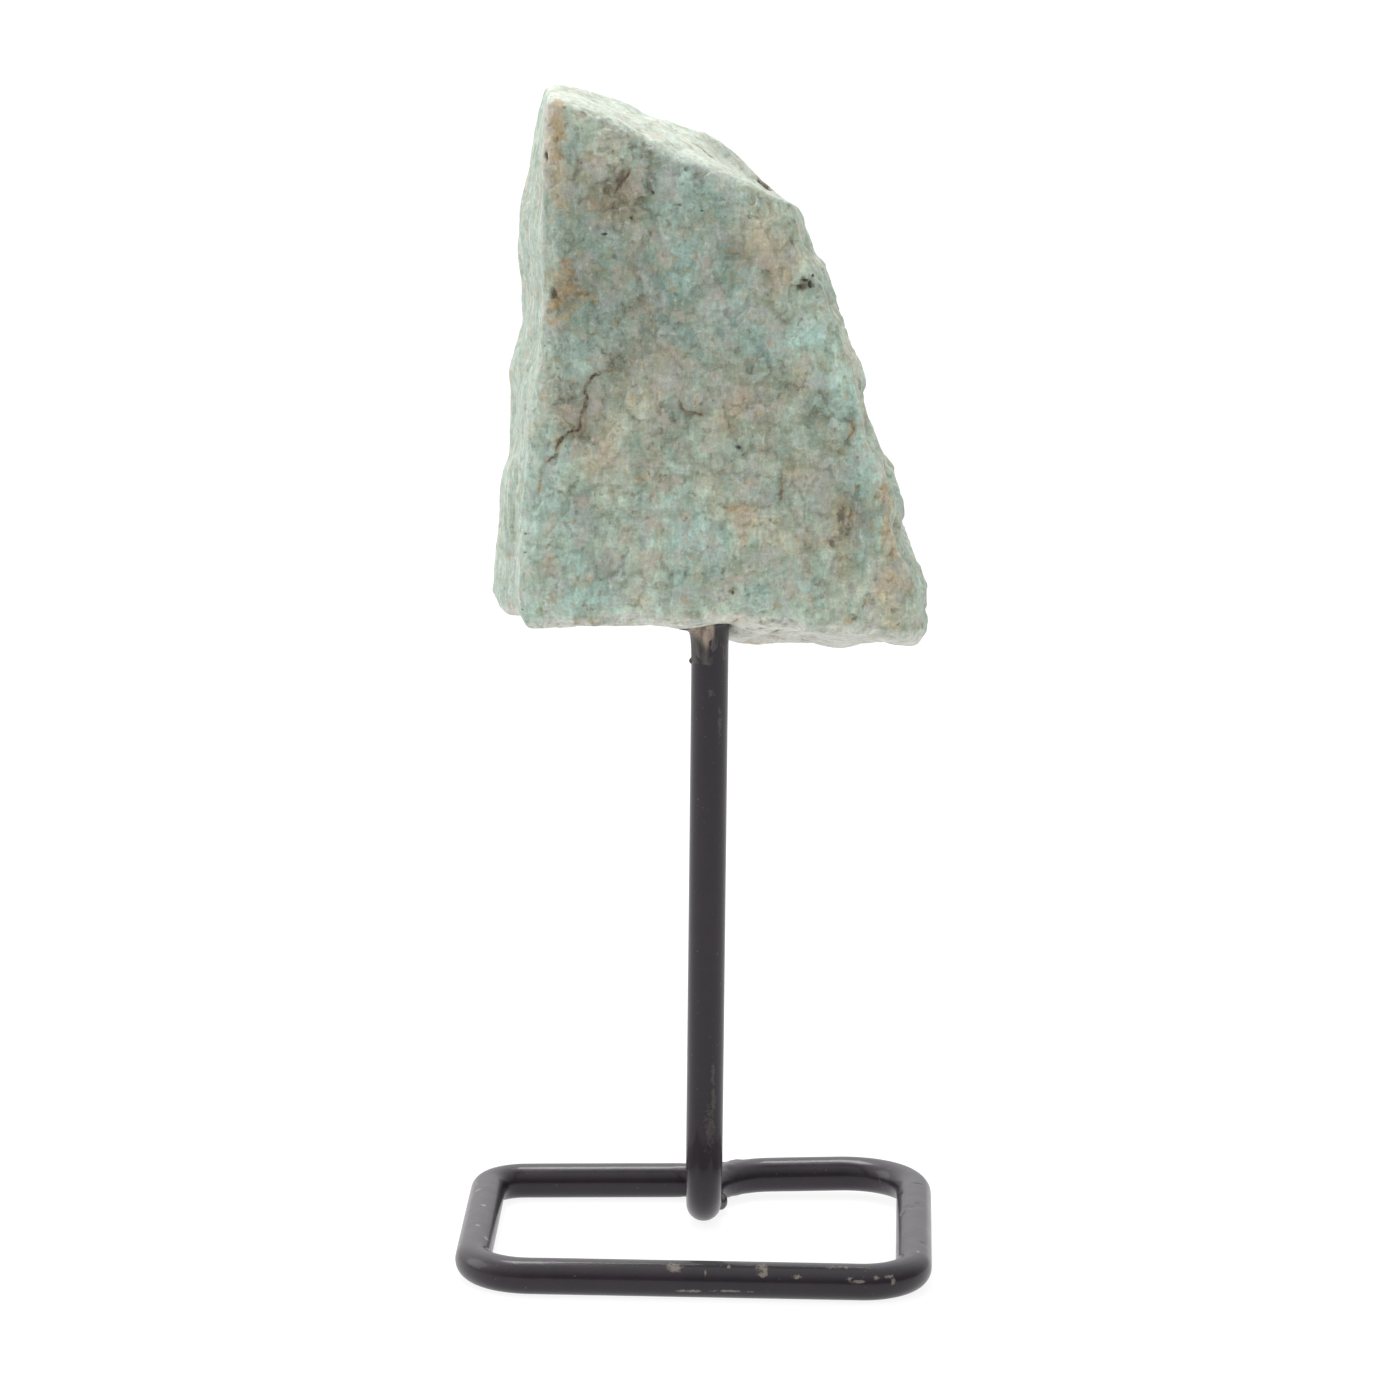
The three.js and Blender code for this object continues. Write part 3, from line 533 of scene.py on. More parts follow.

# Stains: rust that crept in along the left edge, the right edge and the crack, dark brown iron
# in the lowest spots, which also stands for painted shade in those hollows, and pinkish beige
# grains of unaltered feldspar.
STAINS = {
    "rust": [
        (16.4, 16.4, 1.8, 2.2, 0.7), (-15, 40.6, 1.7, 3.2, 0.8), (-11.6, 50.2, 1.4, 0.8, 0.6),
        (-15.45, 58.8, 0.72, 3, 1.6), (-15.45, 55, 0.68, 3.2, 1.4), (-15.3, 51.4, 0.45, 1.6, 0.8),
        (-14.6, 44, 1, 0.5, 0.9), (-14.2, 41.4, 0.8, 1.8, 1.5), (-15.8, 39.2, 0.9, 1, 1.4),
        (-12.7, 40, 1.4, 0.4, 1.4), (-15.4, 37.4, 1.5, 1.3, 0.9), (-13.2, 44.6, 0.5, 0.3, 0.6),
        (21.4, 10.4, 0.8, 2.6, 0.7), (20.6, 14, 0.6, 2, 0.7), (17.3, 17.4, 0.6, 1.4, 0.7),
        (-12.8, 26.8, 0.5, 1, 0.8), (-15.9, 23.9, 0.7, 1, 0.9), (-17.6, 19.6, 0.45, 1.4, 0.8),
        (-13.4, 8.2, 0.8, 0.7, 0.8), (-16, 7.2, 1, 0.6, 0.6), (-18.3, 25.2, 0.6, 0.9, 0.8),
        (10.4, 15.6, 1, 0.9, 0.8), (4.9, 13.4, 0.5, 0.9, 0.7), (-7.4, 18, 0.8, 0.7, 0.5),
        (-5.6, 15.4, 0.5, 0.8, 0.6), (4.5, 16.9, 2.4, 0.5, 0.7), (1.6, 22.4, 0.8, 0.5, 0.6),
        (9.6, 21.9, 0.4, 1.6, 0.6), (14.6, 12.9, 2.4, 0.5, 0.6), (21.4, 3.4, 0.7, 0.7, 0.7),
        (16.8, 3.9, 1, 0.4, 0.7), (-12.2, 55.4, 0.7, 0.6, 0.7), (16.7, 25, 0.4, 1.4, 0.7),
        (20.6, 17.6, 0.8, 1.2, 0.8), (13.2, 38.6, 0.9, 0.8, 0.5), (3.4, 46.8, 0.7, 1.2, 0.5),
        (-6.4, 10, 0.3, 1.4, 0.6), (-4.5, 13.8, 0.3, 1.2, 0.6),
    ],
    "umber": [
        (-9.6, 52.2, 1.8, 1.8, 0.8), (-6.2, 52, 1.2, 1.8, 0.7), (-6, 55.2, 1.2, 0.6, 0.9),
        (-8.5, 52, 0.8, 1.9, 0.9), (-9.3, 50.7, 1.1, 0.9, 0.8), (-8.2, 49.6, 2, 0.55, 0.7),
        (-6.4, 56.3, 1, 0.45, 0.8), (-15.8, 40.3, 0.65, 0.8, 1), (-12.7, 40.1, 0.9, 0.35, 1),
        (11.9, 41.4, 1.1, 1, 1.2), (13, 40.9, 0.8, 0.4, 0.5), (4.3, 23.6, 0.45, 0.55, 0.8),
        (16.2, 15.3, 1.1, 1.6, 1.3), (17.4, 18.2, 0.5, 0.9, 0.7), (8.9, 19, 0.35, 1.5, 0.9),
        (10, 18.4, 0.9, 0.8, 0.5), (15.4, 13.3, 1.1, 0.25, 0.8), (3.9, 17.1, 1.9, 0.28, 0.7),
        (6.6, 29, 1.6, 1, 0.6), (1.4, 32.6, 1.7, 0.8, 0.5), (-13.4, 23.4, 0.5, 1.6, 0.5),
        (-14.6, 29.6, 1.5, 1.4, 0.5), (10.2, 30.2, 1.8, 0.7, 0.5), (5.6, 50.2, 1.4, 1.4, 0.5),
        (10, 47.8, 0.9, 0.5, 0.6), (10.3, 45.9, 0.5, 0.3, 0.6), (3.7, 7.6, 0.5, 0.5, 0.6),
        (18.8, 6, 0.9, 1.4, 0.5), (17, 4.1, 0.6, 0.25, 0.8), (-2.6, 26.8, 0.5, 0.4, 0.6),
        (2.4, 22.8, 0.7, 0.35, 0.5), (-13.8, 46, 1.8, 0.4, 0.5), (-5.6, 46.8, 0.8, 1.2, 0.5),
        (-16.9, 55.4, 0.25, 0.7, 0.9), (-9.4, 33, 1.6, 1.4, 0.5),
    ],
    "blush": [
        (-16.8, 58.6, 0.7, 3.4, 1.6), (-16.8, 54.6, 0.62, 3.2, 1.5), (-11.4, 47.7, 1.4, 0.8, 0.9),
        (-8.2, 47.6, 0.7, 1, 0.5), (-8.4, 44.9, 0.5, 0.4, 0.9), (-5.9, 53.4, 1.3, 0.9, 0.7),
        (-2.4, 46.8, 1, 1.2, 0.6), (7.4, 41.2, 1.1, 0.9, 0.9), (7.3, 43.8, 1.1, 0.8, 0.7),
        (6, 47, 1.2, 1, 0.5), (-11.4, 27.4, 0.8, 3, 0.6), (-14.5, 26.8, 0.9, 1, 0.7),
        (-13.9, 23.2, 1.3, 1.3, 0.8), (-16.2, 20.7, 1.2, 0.9, 0.6), (-4.9, 15.8, 1, 0.8, 0.7),
        (-4.8, 11.2, 0.8, 2.6, 0.5), (1.4, 15.8, 1.6, 0.9, 0.6), (4.2, 15.6, 1.2, 1.6, 0.6),
        (10.8, 19.8, 1.6, 1.2, 0.6), (13.2, 13.6, 2, 0.8, 0.5), (20.4, 9.6, 1.2, 2.4, 0.6),
        (-13.4, 8.6, 1.2, 0.9, 0.5), (-16.9, 52.6, 0.4, 0.55, 0.9), (21, 15.6, 0.7, 1.2, 0.5),
    ],
}
axes, there = FACES["front"]
strayed = local[:, axes] + clouds(local, 2.6, (65, 66), 3)
for name, marks in SHIFTS.items():
    shift = sum(mark[4] * np.exp(-reach_of(strayed, mark) ** 2) for mark in marks)
    note(mesh, name, 1.3 * there * shift)
strayed = local[:, axes] + 0.20 * clouds(local, 0.8, (67, 68), 3)
for name, marks in STAINS.items():
    inside = np.max([mark[4] * np.exp(-reach_of(strayed, mark) ** 4) for mark in marks], 0)
    note(mesh, name, inside * there)
note(mesh, "crack", crack)
note(mesh, "crack_width", crack_width)
note(mesh, "pit", pit)
note(mesh, "hollow", np.clip(hollow / 0.09, -1, 1))
note(mesh, "bruise", ramp(0.05, 0.60, -bulge))
note(mesh, "calm", calm)
for face in ("left", "top", "under"):
    note(mesh, face, FACES[face][1])

# Amazonite is green microcline with threads of white albite in it. This skin was cleaved and
# then weathered: matt, sugary, with iron in its pores, and pale where the edges are bruised.
# Its colour also holds painted light: highlight on the edges, light and shade on the faces that
# turn up, down and to the left, and shade in the low places.
green, tree = blank_material("cleaved amazonite")
here = add(tree, "ShaderNodeTexCoord", give="Object")
stir = add(tree, "ShaderNodeTexNoise", {
    "Vector": here, "Scale": 1000 / 1.2, "Detail": 2.0}, give="Color")
stir = add(tree, "ShaderNodeVectorMath", {0: stir, 1: (0.5, 0.5, 0.5)}, operation="SUBTRACT")
stir = add(tree, "ShaderNodeVectorMath", {0: stir, "Scale": 0.0008}, operation="SCALE")
loose = add(tree, "ShaderNodeVectorMath", {0: here, 1: stir}, operation="ADD")
tall = add(tree, "ShaderNodeMapping", {"Vector": loose, "Scale": (1.0, 1.0, 0.6)})
marks = {
    name: add(tree, "ShaderNodeAttribute", give="Fac", attribute_name=name)
    for name in ("tone", "hue", "rust", "umber", "blush", "crack", "crack_width", "pit", "hollow",
                 "bruise", "calm", "left", "top", "under")
}
busy = add(tree, "ShaderNodeMath", {0: marks["calm"], 1: -0.65, 2: 1.0}, operation="MULTIPLY_ADD")

# The body runs from bluish green through sage to tan, and from dark to light, in patches of
# every size from 6 mm down to the grain.
levels = {}
for name, size, roughness, gain, stain, pull in (
    ("hue", 6.0, 0.72, 8.0, "rust", 1.0), ("tone", 4.5, 0.70, 14.0, "umber", -1.8),
):
    drift = add(tree, "ShaderNodeTexNoise", {
        "Vector": tall, "Scale": 1000 / size, "Detail": 6.0, "Roughness": roughness})
    drift = add(tree, "ShaderNodeMath", {0: drift, 1: 0.5}, operation="SUBTRACT")
    drift = add(tree, "ShaderNodeMath", {0: drift, 1: busy}, operation="MULTIPLY")
    drift = add(tree, "ShaderNodeMath", {0: drift, 1: gain, 2: marks[name]}, operation="MULTIPLY_ADD")
    levels[name] = add(tree, "ShaderNodeMath", {
        0: marks[stain], 1: pull, 2: drift}, operation="MULTIPLY_ADD")
level = add(tree, "ShaderNodeMapRange", {"Value": levels["hue"], "From Min": -2.0, "From Max": 2.0})
shades = add(tree, "ShaderNodeValToRGB", {"Fac": level}, give=None)
for place, colour in (
    (0.12, "#96B0A6"), (0.32, "#9AAFA2"), (0.50, "#9FAC9C"), (0.72, "#A4A590"), (0.92, "#ABA188"),
):
    shades.color_ramp.elements.new(place).color = linear(colour)
shades.color_ramp.elements.remove(shades.color_ramp.elements[0])
shades.color_ramp.elements.remove(shades.color_ramp.elements[-1])
# The tone, painted light and shade included, scales the colour.
light = add(tree, "ShaderNodeMapRange", {
    "Value": levels["tone"], "From Min": -3.0, "From Max": 3.0, "To Min": 0.65, "To Max": 1.71})
skin = add(tree, "ShaderNodeVectorMath", {0: shades.outputs[0], "Scale": light}, operation="SCALE")

# Paler edges and sides: the edges are partly bruised and partly painted highlight, and the
# left side, the top and the underside each get a colour that is partly their own and partly
# painted light.
for mark, cover, colour in (
    ("bruise", 0.45, "#B8C7BA"), ("left", 0.55, "#97ABA0"), ("top", 0.70, "#BDC6BA"),
    ("under", 0.70, "#CFCBC4"),
):
    share = add(tree, "ShaderNodeMath", {0: marks[mark], 1: cover}, operation="MULTIPLY")
    skin = add(tree, "ShaderNodeMix", {0: share, 6: skin, 7: linear(colour)}, **COLOUR_MIX)

# What mottles the green, each laid over the one before: its colour, its grain in mm, how much
# taller than wide its patches are, the noise where it starts and where it is full, how much it
# covers, and the mark that gathers it, with the mark's pull.
MOTTLES = [
    ("#7D9583", 2.6, 1.6, 0.500, 0.640, 0.50, "umber", 0.060),     # deeper green
    ("#B1B2AD", 2.2, 1.4, 0.500, 0.640, 0.60, "blush", 0.080),     # lilac grey
    ("#C9D4C9", 0.6, 8.0, 0.620, 0.740, 0.55, "calm", 0.110),      # upright threads of albite
    ("#848768", 2.2, 0.6, 0.520, 0.660, 0.55, "umber", 0.050),     # olive iron
    ("#BCAE9E", 2.4, 1.1, 0.550, 0.680, 0.58, "blush", 0.140),     # pinkish beige feldspar
    ("#AE9871", 1.5, 1.0, 0.590, 0.740, 0.75, "rust", 0.150),      # ochre iron
    ("#5F5645", 1.0, 1.0, 0.590, 0.740, 0.75, "umber", 0.155),     # dark brown iron
    ("#D3D9CF", 0.5, 1.0, 0.590, 0.650, 0.25, "bruise", 0.020),    # crushed pale grains
]
for k, (colour, grain, height, start, full, cover, mark, pull) in enumerate(MOTTLES):
    place = add(tree, "ShaderNodeMapping", {
        "Vector": loose, "Location": (0.11 * k, 0.07 * k, 0.05 * k), "Scale": (1.0, 1.0, 1 / height)})
    patch = add(tree, "ShaderNodeTexNoise", {
        "Vector": place, "Scale": 1000 / grain, "Detail": 4.0, "Roughness": 0.58})
    patch = add(tree, "ShaderNodeMath", {0: marks[mark], 1: pull, 2: patch}, operation="MULTIPLY_ADD")
    share = add(tree, "ShaderNodeMapRange", {
        "Value": patch, "From Min": start, "From Max": full, "To Max": cover})
    skin = add(tree, "ShaderNodeMix", {0: share, 6: skin, 7: linear(colour)}, **COLOUR_MIX)

# Painted shade darkens the low places. Then the sugary grain, 0.8 mm and finer.
share = add(tree, "ShaderNodeMapRange", {
    "Value": marks["hollow"], "From Min": 0.15, "From Max": 1.20, "To Max": 0.26})
skin = add(tree, "ShaderNodeMix", {0: share, 6: skin, 7: linear("#6B6450")}, **COLOUR_MIX)
grain = add(tree, "ShaderNodeTexNoise", {
    "Vector": tall, "Scale": 1000 / 0.8, "Detail": 3.0, "Roughness": 0.9})
dapple = add(tree, "ShaderNodeMapRange", {
    "Value": grain, "From Min": 0.35, "From Max": 0.65, "To Min": 0.84, "To Max": 1.16})
skin = add(tree, "ShaderNodeVectorMath", {0: skin, "Scale": dapple}, operation="SCALE")

# Microcline's two sets of twin plates cross at right angles and weave the green, here 0.4 mm
# wide, which is coarser than real.
for stretch in ((1.0, 1.0, 3.5), (3.5, 3.5, 1.0)):
    plates = add(tree, "ShaderNodeMapping", {"Vector": here, "Scale": stretch})
    plates = add(tree, "ShaderNodeTexNoise", {
        "Vector": plates, "Scale": 1000 / 1.4, "Detail": 3.0, "Roughness": 0.6})
    plates = add(tree, "ShaderNodeMapRange", {
        "Value": plates, "From Min": 0.35, "From Max": 0.65, "To Min": 0.93, "To Max": 1.07})
    skin = add(tree, "ShaderNodeVectorMath", {0: skin, "Scale": plates}, operation="SCALE")

# Cracks are dark brown lines of uneven width, with ochre beside them, and pits are dark.
astray = add(tree, "ShaderNodeTexNoise", {
    "Vector": here, "Scale": 1000 / 0.9, "Detail": 3.0, "Roughness": 0.7})
gap = add(tree, "ShaderNodeMath", {0: marks["crack"]}, operation="ABSOLUTE")
gap = add(tree, "ShaderNodeMath", {0: astray, 1: 0.50, 2: gap}, operation="MULTIPLY_ADD")
gap = add(tree, "ShaderNodeMath", {0: gap, 1: 0.25}, operation="SUBTRACT")
beyond = add(tree, "ShaderNodeMath", {0: gap, 1: marks["crack_width"]}, operation="SUBTRACT")
there = add(tree, "ShaderNodeMapRange", {"Value": marks["crack_width"], "From Max": 0.05})
patchy = add(tree, "ShaderNodeMapRange", {
    "Value": grain, "From Min": 0.40, "From Max": 0.56, "To Min": 0.15})
for wide, thin, cover, colour in ((0.45, 0.02, 0.55, "#9C8263"), (0.09, -0.06, 0.85, "#54463A")):
    share = add(tree, "ShaderNodeMapRange", {
        "Value": beyond, "From Min": wide, "From Max": thin, "To Max": cover})
    share = add(tree, "ShaderNodeMath", {0: share, 1: there}, operation="MULTIPLY")
    share = add(tree, "ShaderNodeMath", {0: share, 1: patchy}, operation="MULTIPLY")
    skin = add(tree, "ShaderNodeMix", {0: share, 6: skin, 7: linear(colour)}, **COLOUR_MIX)
ragged = add(tree, "ShaderNodeMath", {0: astray, 1: 2.4, 2: marks["pit"]}, operation="MULTIPLY_ADD")
share = add(tree, "ShaderNodeMapRange", {
    "Value": ragged, "From Min": 2.35, "From Max": 1.85, "To Max": 0.85})
skin = add(tree, "ShaderNodeMix", {0: share, 6: skin, 7: linear("#4C4334")}, **COLOUR_MIX)

# Each grain ends in its own small flat face, which leans by up to a tenth.
height = add(tree, "ShaderNodeMath", {0: grain, 1: 0.00006}, operation="MULTIPLY")
for size, lean in ((0.9, 0.05), (0.4, 0.18)):
    cells = add(tree, "ShaderNodeTexVoronoi", {"Vector": loose, "Scale": 1000 / size}, give=None)
    away = add(tree, "ShaderNodeVectorMath", {
        0: loose, 1: cells.outputs["Position"]}, operation="SUBTRACT")
    way = add(tree, "ShaderNodeVectorMath", {
        0: cells.outputs["Color"], 1: (0.5, 0.5, 0.5)}, operation="SUBTRACT")
    facet = add(tree, "ShaderNodeVectorMath", {0: away, 1: way}, give="Value", operation="DOT_PRODUCT")
    height = add(tree, "ShaderNodeMath", {0: facet, 1: lean, 2: height}, operation="MULTIPLY_ADD")
height = add(tree, "ShaderNodeMath", {0: height, 1: busy}, operation="MULTIPLY")
bump = add(tree, "ShaderNodeBump", {"Strength": 1.0, "Distance": 1.0, "Height": height})
sheen = add(tree, "ShaderNodeMapRange", {
    "Value": grain, "From Min": 0.35, "From Max": 0.65, "To Min": 0.42, "To Max": 0.72})
shader = add(tree, "ShaderNodeBsdfPrincipled", {
    "Base Color": skin, "Roughness": sheen, "Normal": bump, "IOR": 1.53})
add(tree, "ShaderNodeOutputMaterial", {"Surface": shader})
mesh.materials.clear()
mesh.materials.append(green)

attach(stone, "root")
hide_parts("amazonite_stone")

# ---------------- The wire stand
# One length of mild steel wire, bent by hand into a loop with an upright pin. Its free end is
# welded behind the upright, and the whole was dipped in satin black paint.
WIRE_DIAMETER = 4.06            # mm, over the paint
WIRE_LEVEL = WIRE_DIAMETER / 2 - 0.08  # its centreline's height: the underside is rubbed flat
REAR_LIFT = 0.75                # the welded rear right corner stands off the table
CORNERS = [                     # centreline corners in mm, each with its bend radius
    ((1.33, 5.206, 80.5), 0.0), ((0.50, 5.85, WIRE_LEVEL), 5.0),
    ((0.5, 21.25, WIRE_LEVEL + REAR_LIFT / 2), 8.0), ((25.6, 21.45, WIRE_LEVEL + REAR_LIFT), 8.5),
    ((23.7, -21.45, WIRE_LEVEL), 5.8), ((-25.6, -18.25, WIRE_LEVEL), 7.0),
    ((-24.9, 20.45, WIRE_LEVEL), 4.4), ((-0.5, 20.35, WIRE_LEVEL + 0.1), 0.0),
]
LUMPS = [                       # weld beads, runs of paint: middle, half sizes, turn
    ((1.1, 20.75, 2.2), (3.1, 2.0, 1.75), 0.5), ((2.3, 19.9, 2.6), (1.3, 1.2, 1.3), 0.2),
    ((0.0, 21.2, 2.8), (1.5, 1.3, 1.2), 0.8), ((2.6, 20.6, 2.2), (2.2, 1.9, 2.0), 0.3),
    ((4.6, 20.9, 2.5), (2.4, 1.9, 1.9), 0.2),
    ((2.45, 13.6, 1.35), (0.9, 1.5, 1.0), 0.0), ((2.2, 12.2, 1.6), (0.6, 0.8, 0.6), 0.0),
    ((-0.95, 5.2, 67.3), (0.30, 0.4, 0.35), 0.0), ((3.0, 5.0, 67.7), (0.30, 0.4, 0.30), 0.0),
    ((3.1, 5.1, 66.2), (0.30, 0.4, 0.35), 0.0), ((1.9, 3.6, 60.4), (0.4, 0.3, 1.6), 0.0),
]

# The paint is thick and a little uneven. It went on over dust and came off in chips.
black, tree = blank_material("satin black paint on steel")
here = add(tree, "ShaderNodeTexCoord", give="Object")
coat = add(tree, "ShaderNodeTexNoise", {
    "Vector": here, "Scale": 1000 / 2.5, "Detail": 4.0, "Roughness": 0.65})
coat_colour = add(tree, "ShaderNodeMapRange", {"Value": coat, "From Min": 0.38, "From Max": 0.62})
skin = add(tree, "ShaderNodeMix", {
    0: coat_colour, 6: linear("#190F19"), 7: linear("#1F131F")}, **COLOUR_MIX)
ragged = add(tree, "ShaderNodeTexNoise", {
    "Vector": here, "Scale": 1000 / 0.7, "Detail": 3.0, "Roughness": 0.75})
dust = add(tree, "ShaderNodeTexNoise", {
    "Vector": here, "Scale": 1000 / 0.45, "Detail": 2.0, "Roughness": 0.6})
dust = add(tree, "ShaderNodeMapRange", {
    "Value": dust, "From Min": 0.70, "From Max": 0.76, "To Max": 0.4})
skin = add(tree, "ShaderNodeMix", {0: dust, 6: skin, 7: linear("#7C7678")}, **COLOUR_MIX)
for mark, swing, cover, colour in (
    ("worn", 5.0, 0.30, "#6E665C"), ("bare", 4.0, 0.65, "#8E857A"), ("split", 1.5, 0.90, "#0B0809"),
):
    reach = add(tree, "ShaderNodeAttribute", give="Fac", attribute_name=mark)
    edge = add(tree, "ShaderNodeMath", {0: ragged, 1: swing, 2: reach}, operation="MULTIPLY_ADD")
    share = add(tree, "ShaderNodeMapRange", {
        "Value": edge, "From Min": 1.45 + swing / 2, "From Max": 0.70 + swing / 2, "To Max": cover})
    skin = add(tree, "ShaderNodeMix", {0: share, 6: skin, 7: linear(colour)}, **COLOUR_MIX)
sheen = add(tree, "ShaderNodeMapRange", {
    "Value": coat, "From Min": 0.38, "From Max": 0.62, "To Min": 0.34, "To Max": 0.39})
height = add(tree, "ShaderNodeMath", {0: coat, 1: 0.00002}, operation="MULTIPLY")
height = add(tree, "ShaderNodeMath", {0: ragged, 1: 0.00002, 2: height}, operation="MULTIPLY_ADD")
bump = add(tree, "ShaderNodeBump", {"Strength": 1.0, "Distance": 1.0, "Height": height})
shader = add(tree, "ShaderNodeBsdfPrincipled", {
    "Base Color": skin, "Roughness": sheen, "Normal": bump, "Specular IOR Level": 0.34,
    "Coat Weight": 0.28, "Coat Roughness": 0.06})
add(tree, "ShaderNodeOutputMaterial", {"Surface": shader})

line = bpy.data.meshes.new("painted_wire_stand")
places = [at for at, _ in CORNERS] + [at for at, _, _ in LUMPS]
line.from_pydata([Vector(at) / 1000 for at in places],
                 [(k, k + 1) for k in range(len(CORNERS) - 1)], [])
stand = bpy.data.objects.new("painted_wire_stand", line)
scene.collection.objects.link(stand)
note(line, "bend", np.array([r / 1000 for _, r in CORNERS] + [0.0] * len(LUMPS)))
note(line, "lump", np.array([0.0] * len(CORNERS) + [1.0] * len(LUMPS)))
for name, rows in (
    ("lump_size", [(0, 0, 0)] * len(CORNERS) + [Vector(size) / 1000 for _, size, _ in LUMPS]),
    ("lump_turn", [(0, 0, 0)] * len(CORNERS) + [(0, 0, turn) for _, _, turn in LUMPS]),
):
    flat = np.array([list(row) for row in rows], np.float32).ravel()
    line.attributes.new(name, "FLOAT_VECTOR", "POINT").data.foreach_set("vector", flat)

tree = bpy.data.node_groups.new("Bent wire with weld lumps", "GeometryNodeTree")
tree.interface.new_socket("Geometry", in_out="OUTPUT", socket_type="NodeSocketGeometry")
inputs = {}
for name, kind in (("Corners", "Geometry"), ("Wire diameter", "Float"), ("Sides", "Int"),
                   ("Steps in a bend", "Int"), ("Paint", "Material")):
    inputs[name] = tree.interface.new_socket(name, in_out="INPUT", socket_type="NodeSocket" + kind)
given = add(tree, "NodeGroupInput", give=None).outputs
stored = {
    name: add(tree, "GeometryNodeInputNamedAttribute", {"Name": name}, data_type=kind)
    for name, kind in (("bend", "FLOAT"), ("lump", "FLOAT"), ("lump_size", "FLOAT_VECTOR"),
                       ("lump_turn", "FLOAT_VECTOR"))
}
path = add(tree, "GeometryNodeMeshToCurve", {"Mesh": given["Corners"]})
path = add(tree, "GeometryNodeFilletCurve", {
    "Curve": path, "Count": given["Steps in a bend"], "Radius": stored["bend"]}, mode="POLY")
radius = add(tree, "ShaderNodeMath", {0: given["Wire diameter"], 1: 2.0}, operation="DIVIDE")
ring = add(tree, "GeometryNodeCurvePrimitiveCircle", {"Resolution": given["Sides"], "Radius": radius})
bar = add(tree, "GeometryNodeCurveToMesh", {"Curve": path, "Profile Curve": ring, "Fill Caps": True})
ball = add(tree, "GeometryNodeMeshIcoSphere", {"Radius": 1.0, "Subdivisions": 4})
is_lump = add(tree, "FunctionNodeCompare", {0: stored["lump"], 1: 0.5}, operation="GREATER_THAN")
lumps = add(tree, "GeometryNodeInstanceOnPoints", {
    "Points": given["Corners"], "Selection": is_lump, "Instance": ball,
    "Rotation": stored["lump_turn"], "Scale": stored["lump_size"]})
both = add(tree, "GeometryNodeJoinGeometry", {"Geometry": bar}, give=None)
tree.links.new(lumps, both.inputs["Geometry"])
whole = add(tree, "GeometryNodeRealizeInstances", {"Geometry": both.outputs[0]})
painted = add(tree, "GeometryNodeSetMaterial", {"Geometry": whole, "Material": given["Paint"]})
add(tree, "NodeGroupOutput", {"Geometry": painted}, give=None)

bending = stand.modifiers.new("Bent wire", "NODES")
bending.node_group = tree
for name, value in (("Wire diameter", WIRE_DIAMETER / 1000), ("Sides", 48), ("Steps in a bend", 18),
                    ("Paint", black)):
    bending[inputs[name].identifier] = value
settle(stand)
mesh = even_skin(stand, 0.25)
edges = edges_of(mesh)
points = evened(points_of(mesh), edges, 12)

# Along its straight runs the wire is a true cylinder.
for (start, bend), (end, next_bend) in zip(CORNERS[:-1], CORNERS[1:]):
    length = math.dist(start, end)
    run = (np.array(end) - start) / length
    along = (points - start) @ run
    away = points - start - along[:, None] * run
    gap = np.linalg.norm(away, axis=1)
    round_off = ramp(bend, bend + 2, along) * ramp(length - next_bend, length - next_bend - 2, along)
    round_off *= ramp(0.30, 0.15, np.abs(gap - WIRE_DIAMETER / 2))
    points = points + (round_off * (WIRE_DIAMETER / 2 / gap - 1))[:, None] * away
place_points(mesh, points)
facing = eased(normals_of(mesh), edges, 4)

# The pliers left small dents and kinks in the bends, and the weld is lumpy.
kinked = np.zeros(len(points))
for corner, bend in CORNERS[2:-1]:
    gap = np.linalg.norm(points - corner, axis=1)
    kinked = np.maximum(kinked, ramp(1.3 * bend + 2.0, 0.5 * bend, gap))
weld = ramp(5.5, 3.0, np.linalg.norm(points - LUMPS[0][0], axis=1))
move = (
    0.005 * cloud(points, 6.0, 121, 2)
    + 0.02 * kinked * cloud(points, 5.0, 125, 2)
    + 0.09 * ramp(5, 8, points[:, 2])              # the upright's coat is thicker
    + 0.10 * weld * cloud(points, 0.9, 127, 2)
)
points = points + move[:, None] * facing

